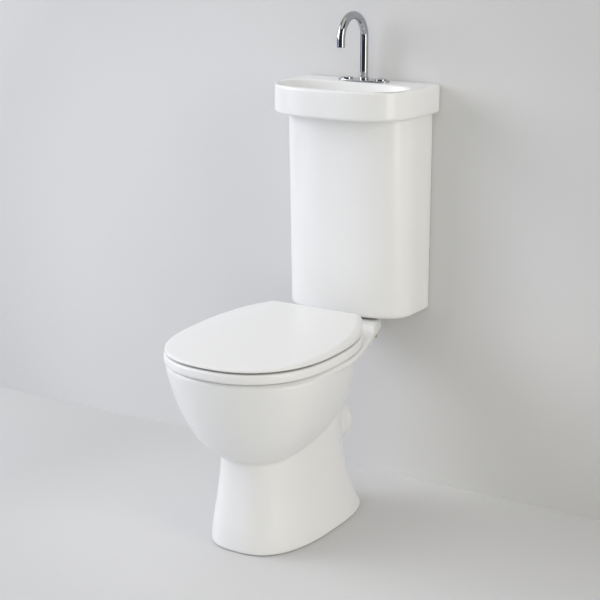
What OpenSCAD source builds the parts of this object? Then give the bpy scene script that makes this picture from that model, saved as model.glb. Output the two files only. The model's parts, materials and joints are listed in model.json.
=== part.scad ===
// Close-coupled toilet with a small hand basin as the lid of its cistern.
// Millimetres. +Z is up and -Y is the front. The wall is the plane y = seat_tip / 2,
// and the origin lies on the floor under the middle of the whole suite.
// Every "d" below is a distance in front of the wall.

/* [Pan] */
// Height of the pan's rim
rim_z = 398; // [390:1:405]
// Half the width of the pan's rim
rim_half = 171.3; // [166:0.1:174]
// Distance from the wall to the front of the pan's rim
rim_tip = 654; // [646:1:657]
// Thickness of the rim's outer edge
rim_edge = 16; // [12:1:20]
// Half the width of the opening in the rim
rim_hole_half = 122; // [112:1:128]
// Distance from the wall to the front of the opening in the rim
rim_hole_tip = 604; // [594:1:608]
// Depth of the bowl's outer body under the rim
bowl_h = 213; // [208:1:216]
// Height of the cistern shelf over the rim
shelf_rise = 10; // [8:1:14]
// Distance from the wall to the back of the cistern shelf
shelf_back = 42; // [38:1:44]
// Half the width of the foot
foot_half = 116.5; // [108:0.5:125]
// Distance from the wall to the front of the foot
foot_tip = 556; // [545:1:562]
// Distance from the wall to the back of the foot
foot_back = 142; // [132:1:150]
// Wall of the hollow foot
foot_wall = 13; // [9:1:16]
// Height of the hollow in the foot
foot_hollow_h = 136; // [100:1:140]
// Outside diameter of the waste spigot
spigot_od = 100; // [96:1:104]
// Inside diameter of the waste spigot
spigot_id = 82; // [78:1:86]
// Height of the waste spigot's axis
spigot_z = 179; // [176:1:184]
// Distance from the wall to the end of the waste spigot
spigot_end = 161; // [155:1:170]
// Length of the spigot that a connector grips
spigot_grip = 33; // [30:1:36]
// Diameter of the trap's water passage
trap_d = 54; // [48:1:56]

/* [Seat and lid] */
// Distance from the wall to the tip of the seat
seat_tip = 661; // [658:1:664]
// Half the width of the seat
seat_half = 176; // [172:1:180]
// Thickness of the seat
seat_t = 20; // [16:1:21]
// Half the width of the seat's opening
seat_hole_half = 110; // [100:1:116]
// Gap that the pads under the seat keep
seat_gap = 3; // [2:0.5:4]
// How far the lid's edge lies inside the seat's edge
lid_inset = 2; // [1:0.5:4]
// Gap that the pads under the lid keep
lid_gap = 4; // [3:0.5:5]
// Height of the lid's edge at its tip
lid_edge_tip = 6.5; // [6:0.1:9]
// Height of the lid's edge at its back
lid_edge_rear = 28; // [24:0.5:32]
// Rise of the lid's crown over its edge
lid_crown = 8; // [5:0.5:9]
// Depth of the hollow under the lid at its back
lid_hollow = 17.5; // [12:0.5:18]
// Distance between the two hinge posts
hinge_spacing = 155; // [150:1:160]
// Distance from the wall to the hinge pins
hinge_d = 237; // [232:1:240]
// Height of the hinge pins over the rim
hinge_rise = 13.5; // [13:0.5:14]
// Diameter of the hinge pins
hinge_pin_d = 8; // [6:0.5:9]
// Running clearance round the hinge pins
hinge_clear = 0.05; // [0.02:0.01:0.1]

/* [Cistern] */
// Height of the cistern tank
tank_h = 447; // [440:1:452]
// Gap that the coupling gasket keeps over the shelf
coupling_gap = 5; // [4:0.5:8]
// Half the width of the tank at the top
tank_half_top = 151.8; // [148:0.1:153]
// Half the width of the tank at the bottom
tank_half_bottom = 151; // [146:0.5:152]
// Depth of the tank at the top
tank_depth_top = 170; // [164:1:171]
// Depth of the tank at the bottom
tank_depth_bottom = 150; // [145:1:154]
// Wall of the tank
tank_wall = 11; // [9:0.5:12]
// Floor of the tank
tank_floor = 12; // [10:0.5:14]
// Distance from the wall to the flush outlet
outlet_d = 90; // [88:1:92]
// Half the distance between the two cistern bolts
bolt_half = 68; // [64:1:70]
// Distance from the wall to the cistern bolts
bolt_d = 112; // [108:1:114]
// Diameter of the cistern bolts
bolt_dia = 8; // [6:1:8]
// Height of the wall screw holes over the tank's floor
screw_rise = 385; // [360:5:400]
// Half the distance between the wall screw holes
screw_half = 90; // [80:1:110]
// Diameter of the wall screw holes
screw_hole_d = 7; // [5:0.5:8]

/* [Basin] */
// Half the width of the basin
basin_half = 167.7; // [167:0.1:172]
// Depth of the basin from the wall to its front
basin_depth = 218; // [212:1:220]
// Height of the basin
basin_h = 62; // [60:1:66]
// How far the basin's skirt hangs over the tank
skirt_drop = 6; // [4:1:8]
// Wall of the basin's skirt
skirt_wall = 12; // [9:0.5:12]
// Thickness of the basin's deck
deck_t = 14; // [12:1:16]
// Width of the basin's lip round the bowl
lip_w = 16; // [14:0.5:18]
// Distance from the wall to the back of the bowl
bowl_back = 66; // [65:1:68]
// Depth of the bowl
basin_bowl_h = 42; // [38:1:43]
// Wall of the bowl
basin_bowl_wall = 9; // [8:0.5:10]
// Distance from the tank's front to the middle of the waste hole
waste_front = 40; // [36:1:44]
// Diameter of the waste hole
waste_hole_d = 44; // [40:1:46]

/* [Spout and buttons] */
// Distance from the wall to the spout and the buttons
spout_d = 37.5; // [37:0.5:38]
// Outside diameter of the spout
spout_od = 17.7; // [16:0.1:20]
// Inside diameter of the spout
spout_id = 13; // [10:0.5:14]
// Height of the spout's straight leg over the deck
spout_leg = 95; // [80:1:110]
// Radius of the spout's bend
spout_bend = 50; // [44:1:56]
// Length of the spout's straight end
spout_drop = 14.5; // [10:0.5:20]
// Length of the plate
plate_l = 122; // [118:1:126]
// Width of the plate
plate_w = 50; // [46:1:52]
// Thickness of the plate
plate_t = 4; // [3.5:0.5:6]
// Half the distance between the two buttons
button_half = 42; // [41:0.5:43]
// Diameter of the buttons
button_d = 25.8; // [24:0.2:26]
// How far a button stands over its plate
button_proud = 3; // [2:0.5:4]
// Travel of a button
button_travel = 5; // [4:0.5:5]

/* [Flush and fill valves] */
// Height of the rocker shafts
rocker_z = 700; // [680:5:720]
// Distance from the wall to the rocker shafts
rocker_d = 59.5; // [59:0.5:60]
// Height of the top of the overflow tube
overflow_z = 790; // [770:5:800]
// Outside diameter of the overflow tube
overflow_od = 26; // [24:1:28]
// Distance from the middle to the fill valve
fill_x = 105; // [102:1:106]
// Distance from the wall to the fill valve
fill_d = 75; // [72:1:80]
// Height of the fill valve's head
fill_head_z = 640; // [620:5:660]
// Diameter of the inlet's threaded tail
inlet_d = 20.8; // [20:0.1:21]
// Length of the inlet's tail under the tank
inlet_l = 28; // [24:1:34]
// Rise of the float
float_travel = 8; // [6:0.5:8]

/* [Hidden] */

// Smallest gap between pieces that don't touch
gap = 0.3;
// Height and radius of the fill valve's head, and its outlet's length and radius
fill_head_h = 50;
fill_head_r = 19;
fill_tip_l = 10;
hose_r = 5.5;
// Shank of the fill valve in the tank's floor, and the nut on it
inlet_shank_r = inlet_d / 2 + 0.6;
inlet_nut_h = 9;
// Points round an egg-shaped ring
egg_k = 40;
// Points round half of a D-shaped ring
dee_k = 14;

seat_z = rim_z + seat_gap;
seat_top = seat_z + seat_t;
lid_z = seat_top + lid_gap;
hinge_z = rim_z + hinge_rise;
shelf_z = rim_z + shelf_rise;
tank_z = shelf_z + coupling_gap;
tank_top = tank_z + tank_h;
tank_floor_z = tank_z + tank_floor;
basin_z = tank_top - skirt_drop;
basin_top = basin_z + basin_h;
deck_z = basin_top - deck_t;
bowl_floor_z = basin_top - basin_bowl_h;
plate_top = basin_top + plate_t;
spring_z = basin_top + spout_leg;
post_x = hinge_spacing / 2;
// End of the tank's straight sides, and how square its front corners are
tank_side = 65;
tank_n = 2.7;

// Height over the floor to y and back
function wy(d) = seat_tip / 2 - d;
function spow(v, p) = sign(v) * pow(abs(v), p);

// Closes a stack of equal rings, lowest first and each anticlockwise from above.
module loft(rings) {
  n = len(rings[0]);
  m = len(rings);
  sides = [for (i = [0:m - 2], j = [0:n - 1])
    let (k = (j + 1) % n)
    each [[i * n + j, (i + 1) * n + j, (i + 1) * n + k], [i * n + j, (i + 1) * n + k, i * n + k]]];
  base = [for (j = [0:n - 1]) j];
  top = [for (j = [n - 1:-1:0]) (m - 1) * n + j];
  polyhedron([for (r = rings) each r], concat([base, top], sides), convexity = 10);
}

// Closes rings that run once round a loop, such as the sections of a seat.
module loop_loft(rings) {
  n = len(rings[0]);
  m = len(rings);
  sides = [for (i = [0:m - 1], j = [0:n - 1])
    let (k = (j + 1) % n, q = (i + 1) % m)
    each [[i * n + j, q * n + j, q * n + k], [i * n + j, q * n + k, i * n + k]]];
  polyhedron([for (r = rings) each r], sides, convexity = 10);
}

// Egg: half-width a, and its front, widest place and back as distances from the wall.
function egg(a, front, mid, back, n, z) = [
  for (i = [0:egg_k - 1])
    let (t = 360 * i / egg_k, c = spow(cos(t), 2 / n), s = spow(sin(t), 2 / n))
    [a * c, wy(mid - s * (s < 0 ? front - mid : mid - back)), z]
];

// D with a flat back: half-width w, front, back and the end of its straight sides.
function dee(w, front, back, side, n, z) = concat(
  [[w, wy(back), z], [-w, wy(back), z]],
  [for (i = [0:2 * dee_k])
    let (t = 90 * i / dee_k, c = spow(cos(t), 2 / n), s = pow(abs(sin(t)), 2 / n))
    [-w * c, wy(side + (front - side) * s), z]]
);

// Mirrors the right half of an outline, given as [x, d] from the front tip to the back.
function both_sides(right, z) = concat(
  [for (p = right) [p[0], wy(p[1]), z]],
  [for (i = [len(right) - 1:-1:0]) if (right[i][0] > 0) [-right[i][0], wy(right[i][1]), z]]
);

// A run of arc points [d, z] in the plane of symmetry.
function arc_path(d, z, r, from, to, steps) = [
  for (i = [0:steps])
    let (a = from + (to - from) * i / steps)
    [d + r * cos(a), z + r * sin(a)]
];

// Sweeps a circle along [d, z] points in the plane of symmetry.
module trap_sweep(path, r, sides) {
  n = len(path);
  rings = [for (i = [0:n - 1])
    let (
      a = path[max(i - 1, 0)],
      b = path[min(i + 1, n - 1)],
      run = norm(b - a),
      nd = -(b[1] - a[1]) / run,
      nz = (b[0] - a[0]) / run
    )
    [for (j = [0:sides - 1])
      let (t = 360 * j / sides)
      [r * cos(t), wy(path[i][0] + r * sin(t) * nd), path[i][1] + r * sin(t) * nz]]];
  loft(rings);
}

module at(x, d, z) {
  translate([x, wy(d), z]) children();
}

module both(x) {
  for (s = [-1, 1]) translate([s * x, 0, 0]) children();
}

module both_hands() {
  children();
  mirror([1, 0, 0]) children();
}

module tube(r_out, r_in, h) {
  difference() {
    cylinder(h = h, r = r_out, $fn = 96);
    translate([0, 0, -1]) cylinder(h = h + 2, r = r_in, $fn = 96);
  }
}

// A rod along X between two places.
module rod_x(x0, x1, d, z, r) {
  translate([x0, wy(d), z]) rotate([0, 90, 0]) cylinder(h = x1 - x0, r = r, $fn = 48);
}

// ---------------------------------------------------------------- pan

bowl_mid = rim_tip - 155;
bowl_back_d = 191;
bowl_shift = 18.8;
bowl_n = 2.1;
// Outline of the rim and shelf behind the widest place, as [x, d].
rim_rear = [
  [171, 400], [169, 365], [161, 325], [141, 256], [117, 184], [98, 128],
  [87, 100], [68, 76], [40, shelf_back + 12], [0, shelf_back]
];
rim_mid = 458;
rim_n = 2.2;

function bowl_ring(t) = let (
    g = pow(1 - pow(t, 1.32), 1 / 3.15),
    gb = pow(1 - pow(t, 3.41), 1 / 3.15),
    mid = bowl_mid - bowl_shift * t
  )
  egg(rim_half * g, mid + (rim_tip - bowl_mid) * g, mid, mid - (bowl_mid - bowl_back_d) * gb,
    bowl_n, rim_z - 6 - (bowl_h - 6) * t);

module bowl_body() {
  loft([for (t = [0.985, 0.95, 0.88, 0.8, 0.7, 0.6, 0.5, 0.4, 0.3, 0.2, 0.1, 0]) bowl_ring(t)]);
}

// Outline of the rim, drawn in towards the middle by e.
function rim_plan(e, z) = let (
    k = 1 - e / rim_half,
    fit = rim_half / 171.3,
    front = [for (t = [0:9:81])
      [rim_half * pow(sin(t), 2 / rim_n), rim_mid + (rim_tip - rim_mid) * pow(cos(t), 2 / rim_n)]],
    right = concat(front, [[rim_half, rim_mid]], [for (p = rim_rear) [p[0] * fit, p[1]]])
  )
  both_sides([for (p = right) [p[0] * k, 300 + (p[1] - 300) * k]], z);

module rim_plate() {
  loft([
    rim_plan(6, rim_z - rim_edge),
    rim_plan(2, rim_z - rim_edge + 2),
    rim_plan(0, rim_z - rim_edge + 6),
    rim_plan(0, rim_z - 5),
    rim_plan(1.5, rim_z - 1.5),
    rim_plan(5, rim_z)
  ]);
}

// Raised shelf under the cistern: its plan, cut by its side view with a ramp at the front.
shelf_plan = [for (p = rim_rear) if (p[1] < 150) [p[0] * 0.98, p[1] + 0.02 * (150 - p[1])]];

module shelf() {
  right = concat([[116, 192]], shelf_plan);
  low = rim_z - 8;
  intersection() {
    translate([0, 0, low]) linear_extrude(shelf_z - low)
      polygon([for (p = both_sides(right, 0)) [p[0], p[1]]]);
    translate([-150, 0, 0]) rotate([90, 0, 90]) linear_extrude(300)
      polygon([[wy(191), low - 1], [wy(175), shelf_z], [wy(20), shelf_z], [wy(20), low - 1]]);
  }
}

// Body under the shelf, which narrows down to the trap.
keel = [
  // height under the rim, half-width, back
  [190, 50, 212], [168, 58, 206], [138, 69, 191], [103, 79, 168],
  [73, 87, 150], [57, 94, 130], [43, 103, 107], [28, 109, 82], [10, 113, 60]
];

module keel_body() {
  loft([for (k = keel) egg(k[1], 420, 300, k[2], 2.6, rim_z - k[0])]);
}

// Sections of the pedestal: height, extra half-width, front and back against the foot.
pedestal = [
  [0, 0, 0, 0], [18, -3.5, 0.5, 15], [42, -8.5, 0, 27], [70, -13.7, -3.5, 39],
  [100, -18.5, -8, 49.5], [135, -23.3, -12.5, 56.5], [170, -27, -15.5, 59],
  [210, -29, -17, 60.5], [240, -30.7, -18, 63], [270, -32.8, -19.5, 66]
];

function pedestal_ring(p, e) = let (
    front = foot_tip + p[2] - e,
    back = foot_back + p[3] + e
  )
  egg(foot_half + p[1] - e, front, (front + back) / 2, back, 2.7, p[0]);

module pedestal_shell() {
  difference() {
    loft([for (p = pedestal) pedestal_ring(p, 0)]);
    loft([
      for (p = pedestal) if (p[0] < foot_hollow_h - 20)
        pedestal_ring([p[0] == 0 ? -1 : p[0], p[1], p[2], p[3]], foot_wall),
      pedestal_ring([foot_hollow_h, -23, -12, 57], foot_wall + 8)
    ]);
  }
}

// Inside of the bowl: height over the floor, half-width, front, back.
bowl_inside = [
  [190, 34, 430, 366], [200, 50, 456, 364], [220, 74, 498, 360], [250, 100, 545, 352],
  [285, 120, 583, 338], [320, 132, 602, 312], [352, 135, 610, 286], [rim_z - 36, 134, 610, 275]
];

module bowl_hollow() {
  loft(concat(
    [for (b = bowl_inside) egg(b[1], b[2], 0.52 * b[2] + 0.48 * b[3], b[3], 2.1, b[0])],
    [egg(rim_hole_half, rim_hole_tip - 1, 450, 280, 2.1, rim_z - 33),
      egg(rim_hole_half, rim_hole_tip, 450, 279, 2.1, rim_z - 5),
      egg(rim_hole_half + 3, rim_hole_tip + 3, 450, 276, 2.1, rim_z + 1)]
  ));
}

// Route of the water: down under the dip, up over the weir, down and out to the wall.
trap_dip = [360, 228];
trap_dip_r = 45;
trap_bend_r = 35;
weir_z = 244;
weir_d = trap_dip[0] - trap_dip_r - trap_bend_r;
trap_route = concat(
  arc_path(trap_dip[0], trap_dip[1], trap_dip_r, -45, -180, 7),
  arc_path(weir_d, weir_z, trap_bend_r, 0, 180, 8),
  arc_path(weir_d - 2 * trap_bend_r, spigot_z + trap_bend_r, trap_bend_r, 0, -90, 4),
  [[spigot_end + 20, spigot_z]]
);

// Collar at the spigot's root, and how far it runs into the foot
spigot_collar = 2;
spigot_root = 36;
inlet_recess_r = 40;
flush_way_z = rim_z - 24;

module pan() {
  color("white")
  difference() {
    union() {
      pedestal_shell();
      bowl_body();
      keel_body();
      rim_plate();
      shelf();
      at(0, outlet_d, rim_z - 52) cylinder(h = 40, r = inlet_recess_r + 6, $fn = 96);
      at(0, spigot_end, spigot_z) rotate([90, 0, 0]) cylinder(h = spigot_grip, d = spigot_od, $fn = 96);
      at(0, spigot_end + spigot_grip, spigot_z) rotate([90, 0, 0])
        cylinder(h = spigot_root, d = spigot_od + 2 * spigot_collar, $fn = 96);
    }
    bowl_hollow();
    trap_sweep(trap_route, trap_d / 2, 16);
    at(0, spigot_end - 1, spigot_z) rotate([90, 0, 0]) cylinder(h = 42, d = spigot_id, $fn = 96);
    // inlet for the flush water and its way to the rim
    at(0, outlet_d, shelf_z - 16) cylinder(h = 20, r = inlet_recess_r, $fn = 96);
    at(0, outlet_d, flush_way_z - 14) cylinder(h = 40, r = 26, $fn = 96);
    at(0, outlet_d, flush_way_z) rotate([90, 0, 0]) cylinder(h = 200, r = 15, $fn = 48);
    // blind holes for the seat's anchors, and the cistern's bolt holes with room for their nuts
    both(post_x) at(0, hinge_d, rim_z - anchor_h) cylinder(h = anchor_h + 2, d = anchor_hole_d, $fn = 48);
    both(bolt_half) at(0, bolt_d, rim_z - 40) cylinder(h = 60, d = bolt_dia + 4, $fn = 48);
    both(bolt_half) at(0, bolt_d, rim_z - 100) cylinder(h = 100 - nut_seat, r = nut_room, $fn = 48);
  }
}

// ---------------------------------------------------------------- fixings

// Depth of the nut seats under the rim
nut_seat = 22;
// Radius of the room round a nut
nut_room = 15;
// Diameter and depth of the blind holes for the seat's anchors
anchor_hole_d = 14;
anchor_h = 38;
stud_d = 8;
washer_t = 3;
nut_h = 9;

module wing_nut(d) {
  difference() {
    union() {
      cylinder(h = nut_h, r = 8, $fn = 48);
      translate([-13.5, -2, 0]) cube([27, 4, nut_h - 2]);
    }
    translate([0, 0, -1]) cylinder(h = nut_h + 2, d = d, $fn = 48);
  }
}

// Post that stands on the pan and carries a hinge pin.
module hinge_posts() {
  post_w = 13;
  color("gainsboro")
  both(post_x) difference() {
    union() {
      rod_x(-post_w / 2, post_w / 2, hinge_d, hinge_z, hinge_hub_r);
      at(-post_w / 2, hinge_d + hinge_hub_r, rim_z) cube([post_w, 2 * hinge_hub_r, hinge_rise]);
      at(-post_w / 2, hinge_d + 13, rim_z) cube([post_w, 26, 2.6]);
    }
    rod_x(-post_w, post_w, hinge_d, hinge_z, hinge_pin_d / 2 + 0.02);
    at(0, hinge_d, rim_z - 1) cylinder(h = 6, d = stud_d + 0.1, $fn = 48);
  }
}

// Radius of the knuckles round the pins
hinge_hub_r = 8;
// Reach of a pin either side of its post
pin_in = 21;
pin_out = 29;
// Lid arm beside each post
arm_from = 7.5;
arm_to = 15;

module hinge_pins() {
  color("silver")
  both_hands()
    rod_x(post_x - pin_in, post_x + pin_out, hinge_d, hinge_z, hinge_pin_d / 2);
}

module hinge_bolts() {
  color("gainsboro")
  both(post_x) at(0, hinge_d, rim_z - anchor_h + 1) cylinder(h = anchor_h + 4, d = stud_d, $fn = 48);
}

// Rubber bushes that swell in the blind holes when their nuts are drawn up.
module hinge_bushes() {
  color("dimgray")
  both(post_x) at(0, hinge_d, rim_z - 24) tube(anchor_hole_d / 2 - 0.1, stud_d / 2 + 0.1, 23.5);
}

module hinge_nuts() {
  color("gainsboro")
  both(post_x) at(0, hinge_d, rim_z - 34) difference() {
    cylinder(h = 10, r = anchor_hole_d / 2 - 0.4, $fn = 8);
    translate([0, 0, -1]) cylinder(h = 12, r = stud_d / 2 + 0.1, $fn = 48);
  }
}

// ---------------------------------------------------------------- seat and lid

seat_mid = seat_tip - 203;
seat_n = 2.32;
seat_back = hinge_d - 8;
// Half-width and corner radius at the back
rear_half = seat_half - 52;
rear_corner = 25;

// Outline that the seat and the lid share, drawn in by e and then scaled by k.
function seat_plan(e, back, z, k) = let (
    half = seat_half - e,
    tip = seat_tip - e,
    rh = rear_half - e,
    rc = max(rear_corner - e, 1),
    end = back + rc,
    turn = seat_mid + 0.69 * (end - seat_mid),
    front = [for (t = [0:9:81])
      [half * pow(sin(t), 2 / seat_n), seat_mid + (tip - seat_mid) * pow(cos(t), 2 / seat_n)]],
    side = [for (i = [0:6])
      let (s = i / 6)
      [(1 - s * s) * half + s * s * rh,
        (1 - s) * (1 - s) * seat_mid + 2 * s * (1 - s) * turn + s * s * end]],
    corner = [for (u = [22.5:22.5:90]) [rh - rc + rc * cos(u), end - rc * sin(u)]]
  )
  both_sides([for (p = concat(front, side, corner)) [p[0] * k, seat_mid + (p[1] - seat_mid) * k]], z);

seat_hole_tip = seat_tip - 61;
seat_hole_back = 318;
seat_hole_mid = 455;

// Point of the seat's opening on the same bearing as an outline point.
function hole_point(p) = let (
    x = p[0],
    y = p[1] - wy(seat_hole_mid),
    b = y < 0 ? seat_hole_tip - seat_hole_mid : seat_hole_mid - seat_hole_back,
    far = pow(pow(abs(x) / seat_hole_half, 2.2) + pow(abs(y) / b, 2.2), 1 / 2.2)
  )
  [x / far, y / far + wy(seat_hole_mid)];

// Section of the seat from its outer edge over the top to the opening and back below.
seat_section = [
  // share of the ring's width, height over the seat's underside as a share of its thickness
  [0.9, 0], [0.06, 0], [0.015, 0.07], [0, 0.22], [0, 0.66], [0.012, 0.86], [0.045, 0.965],
  [0.1, 1], [0.5, 1], [0.74, 0.93], [0.9, 0.76], [0.98, 0.56], [1, 0.38], [0.99, 0.14], [0.95, 0.02]
];

module seat_ring() {
  outer = seat_plan(0, seat_back, 0, 1);
  inner = [for (p = outer) hole_point(p)];
  loop_loft([for (s = seat_section)
    [for (i = [0:len(outer) - 1])
      [outer[i][0] + s[0] * (inner[i][0] - outer[i][0]),
        outer[i][1] + s[0] * (inner[i][1] - outer[i][1]),
        seat_z + s[1] * seat_t]]]);
}

module seat() {
  notch_from = post_x - 7.5;
  notch_w = 24;
  color("white")
  difference() {
    seat_ring();
    both_hands() {
      at(notch_from, hinge_d + 15, seat_z - 5) cube([notch_w, 40, seat_t + 10]);
      rod_x(post_x - pin_in - 0.5, post_x + pin_out + 0.5, hinge_d, hinge_z,
        hinge_pin_d / 2 + hinge_clear);
    }
  }
}

lid_back = hinge_d - 5;
// The lid's edge rolls over into its crown within this width.
lid_roll = 16;
lid_wall = 7;

// Height of the lid's edge where it lies d from the wall: a wedge that grows to the back.
function lid_edge(d) = lid_edge_tip + (lid_edge_rear - lid_edge_tip)
  * pow(min(max((seat_tip - d) / (seat_tip - lid_back), 0), 1), 1.6);
function lid_ceiling(d) = lid_z + lid_edge(d) * lid_hollow / lid_edge_rear;

// Ring of the lid: drawn in by e, scaled by k, at a share of the edge's height plus a rise.
function lid_ring(e, share, k, rise) = [
  for (p = seat_plan(lid_inset + e, lid_back + e, 0, k))
    [p[0], p[1], lid_z + share * lid_edge(wy(0) - p[1]) + rise]
];

module lid_shell() {
  hollow = lid_hollow / lid_edge_rear;
  loft(concat(
    [seat_plan(lid_inset + lid_wall, lid_back + lid_wall, lid_ceiling(seat_mid), 0.3)],
    [lid_ring(lid_wall, hollow, 0.94, 0), lid_ring(lid_wall, hollow * 0.8, 0.985, 0),
      lid_ring(lid_wall, 0, 1, 0), lid_ring(1.6, 0, 1, 0), lid_ring(0.4, 0.07, 1, 0),
      lid_ring(0, 0.2, 1, 0), lid_ring(0, 0.5, 1, 0)],
    [for (a = [18:18:90]) lid_ring(lid_roll * (1 - cos(a)), 0.5 + 0.5 * sin(a), 1, 0)],
    [for (k = [0.93, 0.82, 0.66, 0.48, 0.3])
      lid_ring(lid_roll, 1, k, lid_crown * (1 - pow(k, 2.2)))],
    [seat_plan(lid_inset + lid_roll, lid_back + lid_roll, lid_z + lid_edge(seat_mid) + lid_crown, 0.12)]
  ));
}

// Rubber pads: under the seat they meet the rim, under the lid they meet the seat.
// Each lies on the middle line of the seat's ring, at an angle from its tip.
ring_half = (seat_half + seat_hole_half) / 2;
ring_tip = (seat_tip + seat_hole_tip) / 2;
function on_ring(t) =
  [ring_half * pow(sin(t), 2 / seat_n), seat_mid + (ring_tip - seat_mid) * pow(cos(t), 2 / seat_n)];
seat_pads = [on_ring(88), on_ring(38)];
lid_pads = [on_ring(84), on_ring(42)];

lid_pad_r = 6;
// Each of the lid's pads sits in a shallow pocket in its ceiling.
function lid_pad_top(d) = lid_ceiling(d) + 1.5;

module lid() {
  arm_w = arm_to - arm_from;
  color("white")
  difference() {
    union() {
      lid_shell();
      both_hands() {
        rod_x(post_x + arm_from, post_x + arm_to, hinge_d, hinge_z, hinge_hub_r);
        at(post_x + arm_from, hinge_d + hinge_hub_r, hinge_z)
          cube([arm_w, hinge_hub_r + 2.5, lid_z + lid_hollow + 1 - hinge_z]);
      }
    }
    for (p = lid_pads) both(p[0]) at(0, p[1], lid_z - 1)
      cylinder(h = lid_pad_top(p[1]) - lid_z + 1, r = lid_pad_r + 0.2, $fn = 48);
    both_hands()
      rod_x(post_x + arm_from - 1, post_x + arm_to + 1, hinge_d, hinge_z,
        hinge_pin_d / 2 + hinge_clear);
  }
}

module pads(p, z0, z1, r) {
  both(p[0]) at(0, p[1], z0) cylinder(h = z1 - z0, r = r, $fn = 48);
}

module seat_buffers() {
  color("whitesmoke")
  for (p = seat_pads) pads(p, rim_z + 0.2, seat_z, 7);
}

module lid_buffers() {
  color("whitesmoke")
  for (p = lid_pads) pads(p, seat_top + 0.2, lid_pad_top(p[1]), lid_pad_r);
}

// ---------------------------------------------------------------- cistern

function tank_ring(z, e, back) = let (
    u = (z - tank_z) / tank_h,
    w = tank_half_bottom + (tank_half_top - tank_half_bottom) * u,
    front = tank_depth_bottom + (tank_depth_top - tank_depth_bottom) * u
  )
  dee(w - e, front - e, back, tank_side, tank_n, z);

module cistern_tank() {
  color("white")
  difference() {
    loft([
      tank_ring(tank_z, 10, 0), tank_ring(tank_z + 1.2, 5, 0), tank_ring(tank_z + 4.5, 1.5, 0),
      tank_ring(tank_z + 10, 0, 0), tank_ring(tank_top, 0, 0)
    ]);
    loft([
      tank_ring(tank_floor_z, tank_wall + 6, tank_wall + 4),
      tank_ring(tank_floor_z + 2, tank_wall + 2, tank_wall + 1),
      tank_ring(tank_floor_z + 7, tank_wall, tank_wall),
      tank_ring(tank_top + 1, tank_wall, tank_wall)
    ]);
    at(0, outlet_d, tank_z - 1) cylinder(h = tank_floor + 2, r = shank_r + 1.5, $fn = 96);
    at(-fill_x, fill_d, tank_z - 1) cylinder(h = tank_floor + 2, r = inlet_shank_r + 1, $fn = 96);
    both(bolt_half) at(0, bolt_d, tank_z - 1) cylinder(h = tank_floor + 2, d = bolt_dia + 3, $fn = 48);
    both(screw_half) at(0, tank_wall + 1, tank_floor_z + screw_rise) rotate([-90, 0, 0])
      cylinder(h = tank_wall + 2, d = screw_hole_d, $fn = 48);
  }
}

gasket_r = 46;

module coupling_gasket() {
  color("dimgray")
  at(0, outlet_d, shelf_z) tube(gasket_r, flush_nut_r + 0.5, coupling_gap);
}

// Bolts that draw the cistern down onto the pan's shelf.
module cistern_bolts() {
  foot = rim_z - nut_seat - washer_t - nut_h - 6;
  color("goldenrod")
  both(bolt_half) at(0, bolt_d, foot) {
    cylinder(h = tank_floor_z + washer_t - foot, d = bolt_dia, $fn = 48);
    translate([0, 0, tank_floor_z + washer_t - foot]) cylinder(h = 5, r = 8, $fn = 6);
  }
}

module bolt_washers() {
  color("dimgray")
  both(bolt_half) at(0, bolt_d, 0) {
    translate([0, 0, tank_floor_z]) tube(12, bolt_dia / 2 + 0.1, washer_t);
    translate([0, 0, rim_z - nut_seat - washer_t]) tube(nut_room - 2, bolt_dia / 2 + 0.1, washer_t);
  }
}

module wing_nuts() {
  color("goldenrod")
  both(bolt_half) at(0, bolt_d, rim_z - nut_seat - washer_t - nut_h) wing_nut(bolt_dia + 0.1);
}

// ---------------------------------------------------------------- basin

basin_side = 60;
basin_n = 3;
bowl_side_half = basin_half - lip_w;
bowl_tip = basin_depth - lip_w;

function basin_ring(z, e, back) = dee(basin_half - e, basin_depth - e, back, basin_side, basin_n, z);

// Hollow over the tank's opening; what is left round it rests on the tank's rim.
function basin_well(z) = dee(tank_half_top - tank_wall - 3, tank_depth_top - tank_wall - 3,
  tank_wall + 2, tank_side, tank_n, z);

waste_d = tank_depth_top - waste_front;

// Rings of the bowl, grown by g on every side for its outside.
bowl_steps = [
  // share of the depth, share of the width
  [0, 0.4], [0.03, 0.58], [0.13, 0.77], [0.36, 0.9], [0.65, 0.965], [0.93, 1]
];

function basin_bowl_ring(f, w, g) = let (
    half = bowl_side_half * w,
    front = waste_d + (bowl_tip - waste_d) * (w * 0.94 + 0.06),
    back = waste_d - (waste_d - bowl_back) * (w * 0.94 + 0.06)
  )
  egg(half + g, front + g, waste_d, back - g, 2 + 0.9 * w, bowl_floor_z + basin_bowl_h * f - g);

module basin() {
  color("white")
  difference() {
    union() {
      difference() {
        loft([
          basin_ring(basin_z, 7, 0), basin_ring(basin_z + 1, 3.5, 0), basin_ring(basin_z + 3.5, 1, 0),
          basin_ring(basin_z + 7, 0.2, 0), basin_ring(basin_top - 6, 0, 0),
          basin_ring(basin_top - 2, 1.5, 0), basin_ring(basin_top, 5, 0)
        ]);
        loft([basin_ring(basin_z - 1, skirt_wall, -1), basin_ring(tank_top, skirt_wall, -1)]);
        loft([basin_well(basin_z - 1), basin_well(deck_z)]);
      }
      loft([for (s = bowl_steps) basin_bowl_ring(s[0], s[1], basin_bowl_wall)]);
    }
    loft(concat(
      [for (s = bowl_steps) basin_bowl_ring(s[0], s[1], 0)],
      [basin_bowl_ring(1.03, 1.02, 0)]
    ));
    at(0, waste_d, basin_z - 10) cylinder(h = basin_h, d = waste_hole_d, $fn = 96);
    at(0, spout_d, deck_z - 1) cylinder(h = deck_t + 2, d = tap_tail_d + 2, $fn = 48);
    both(button_half) at(0, spout_d, deck_z - 1) cylinder(h = deck_t + 2, r = guide_r + 0.7, $fn = 96);
  }
}

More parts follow.
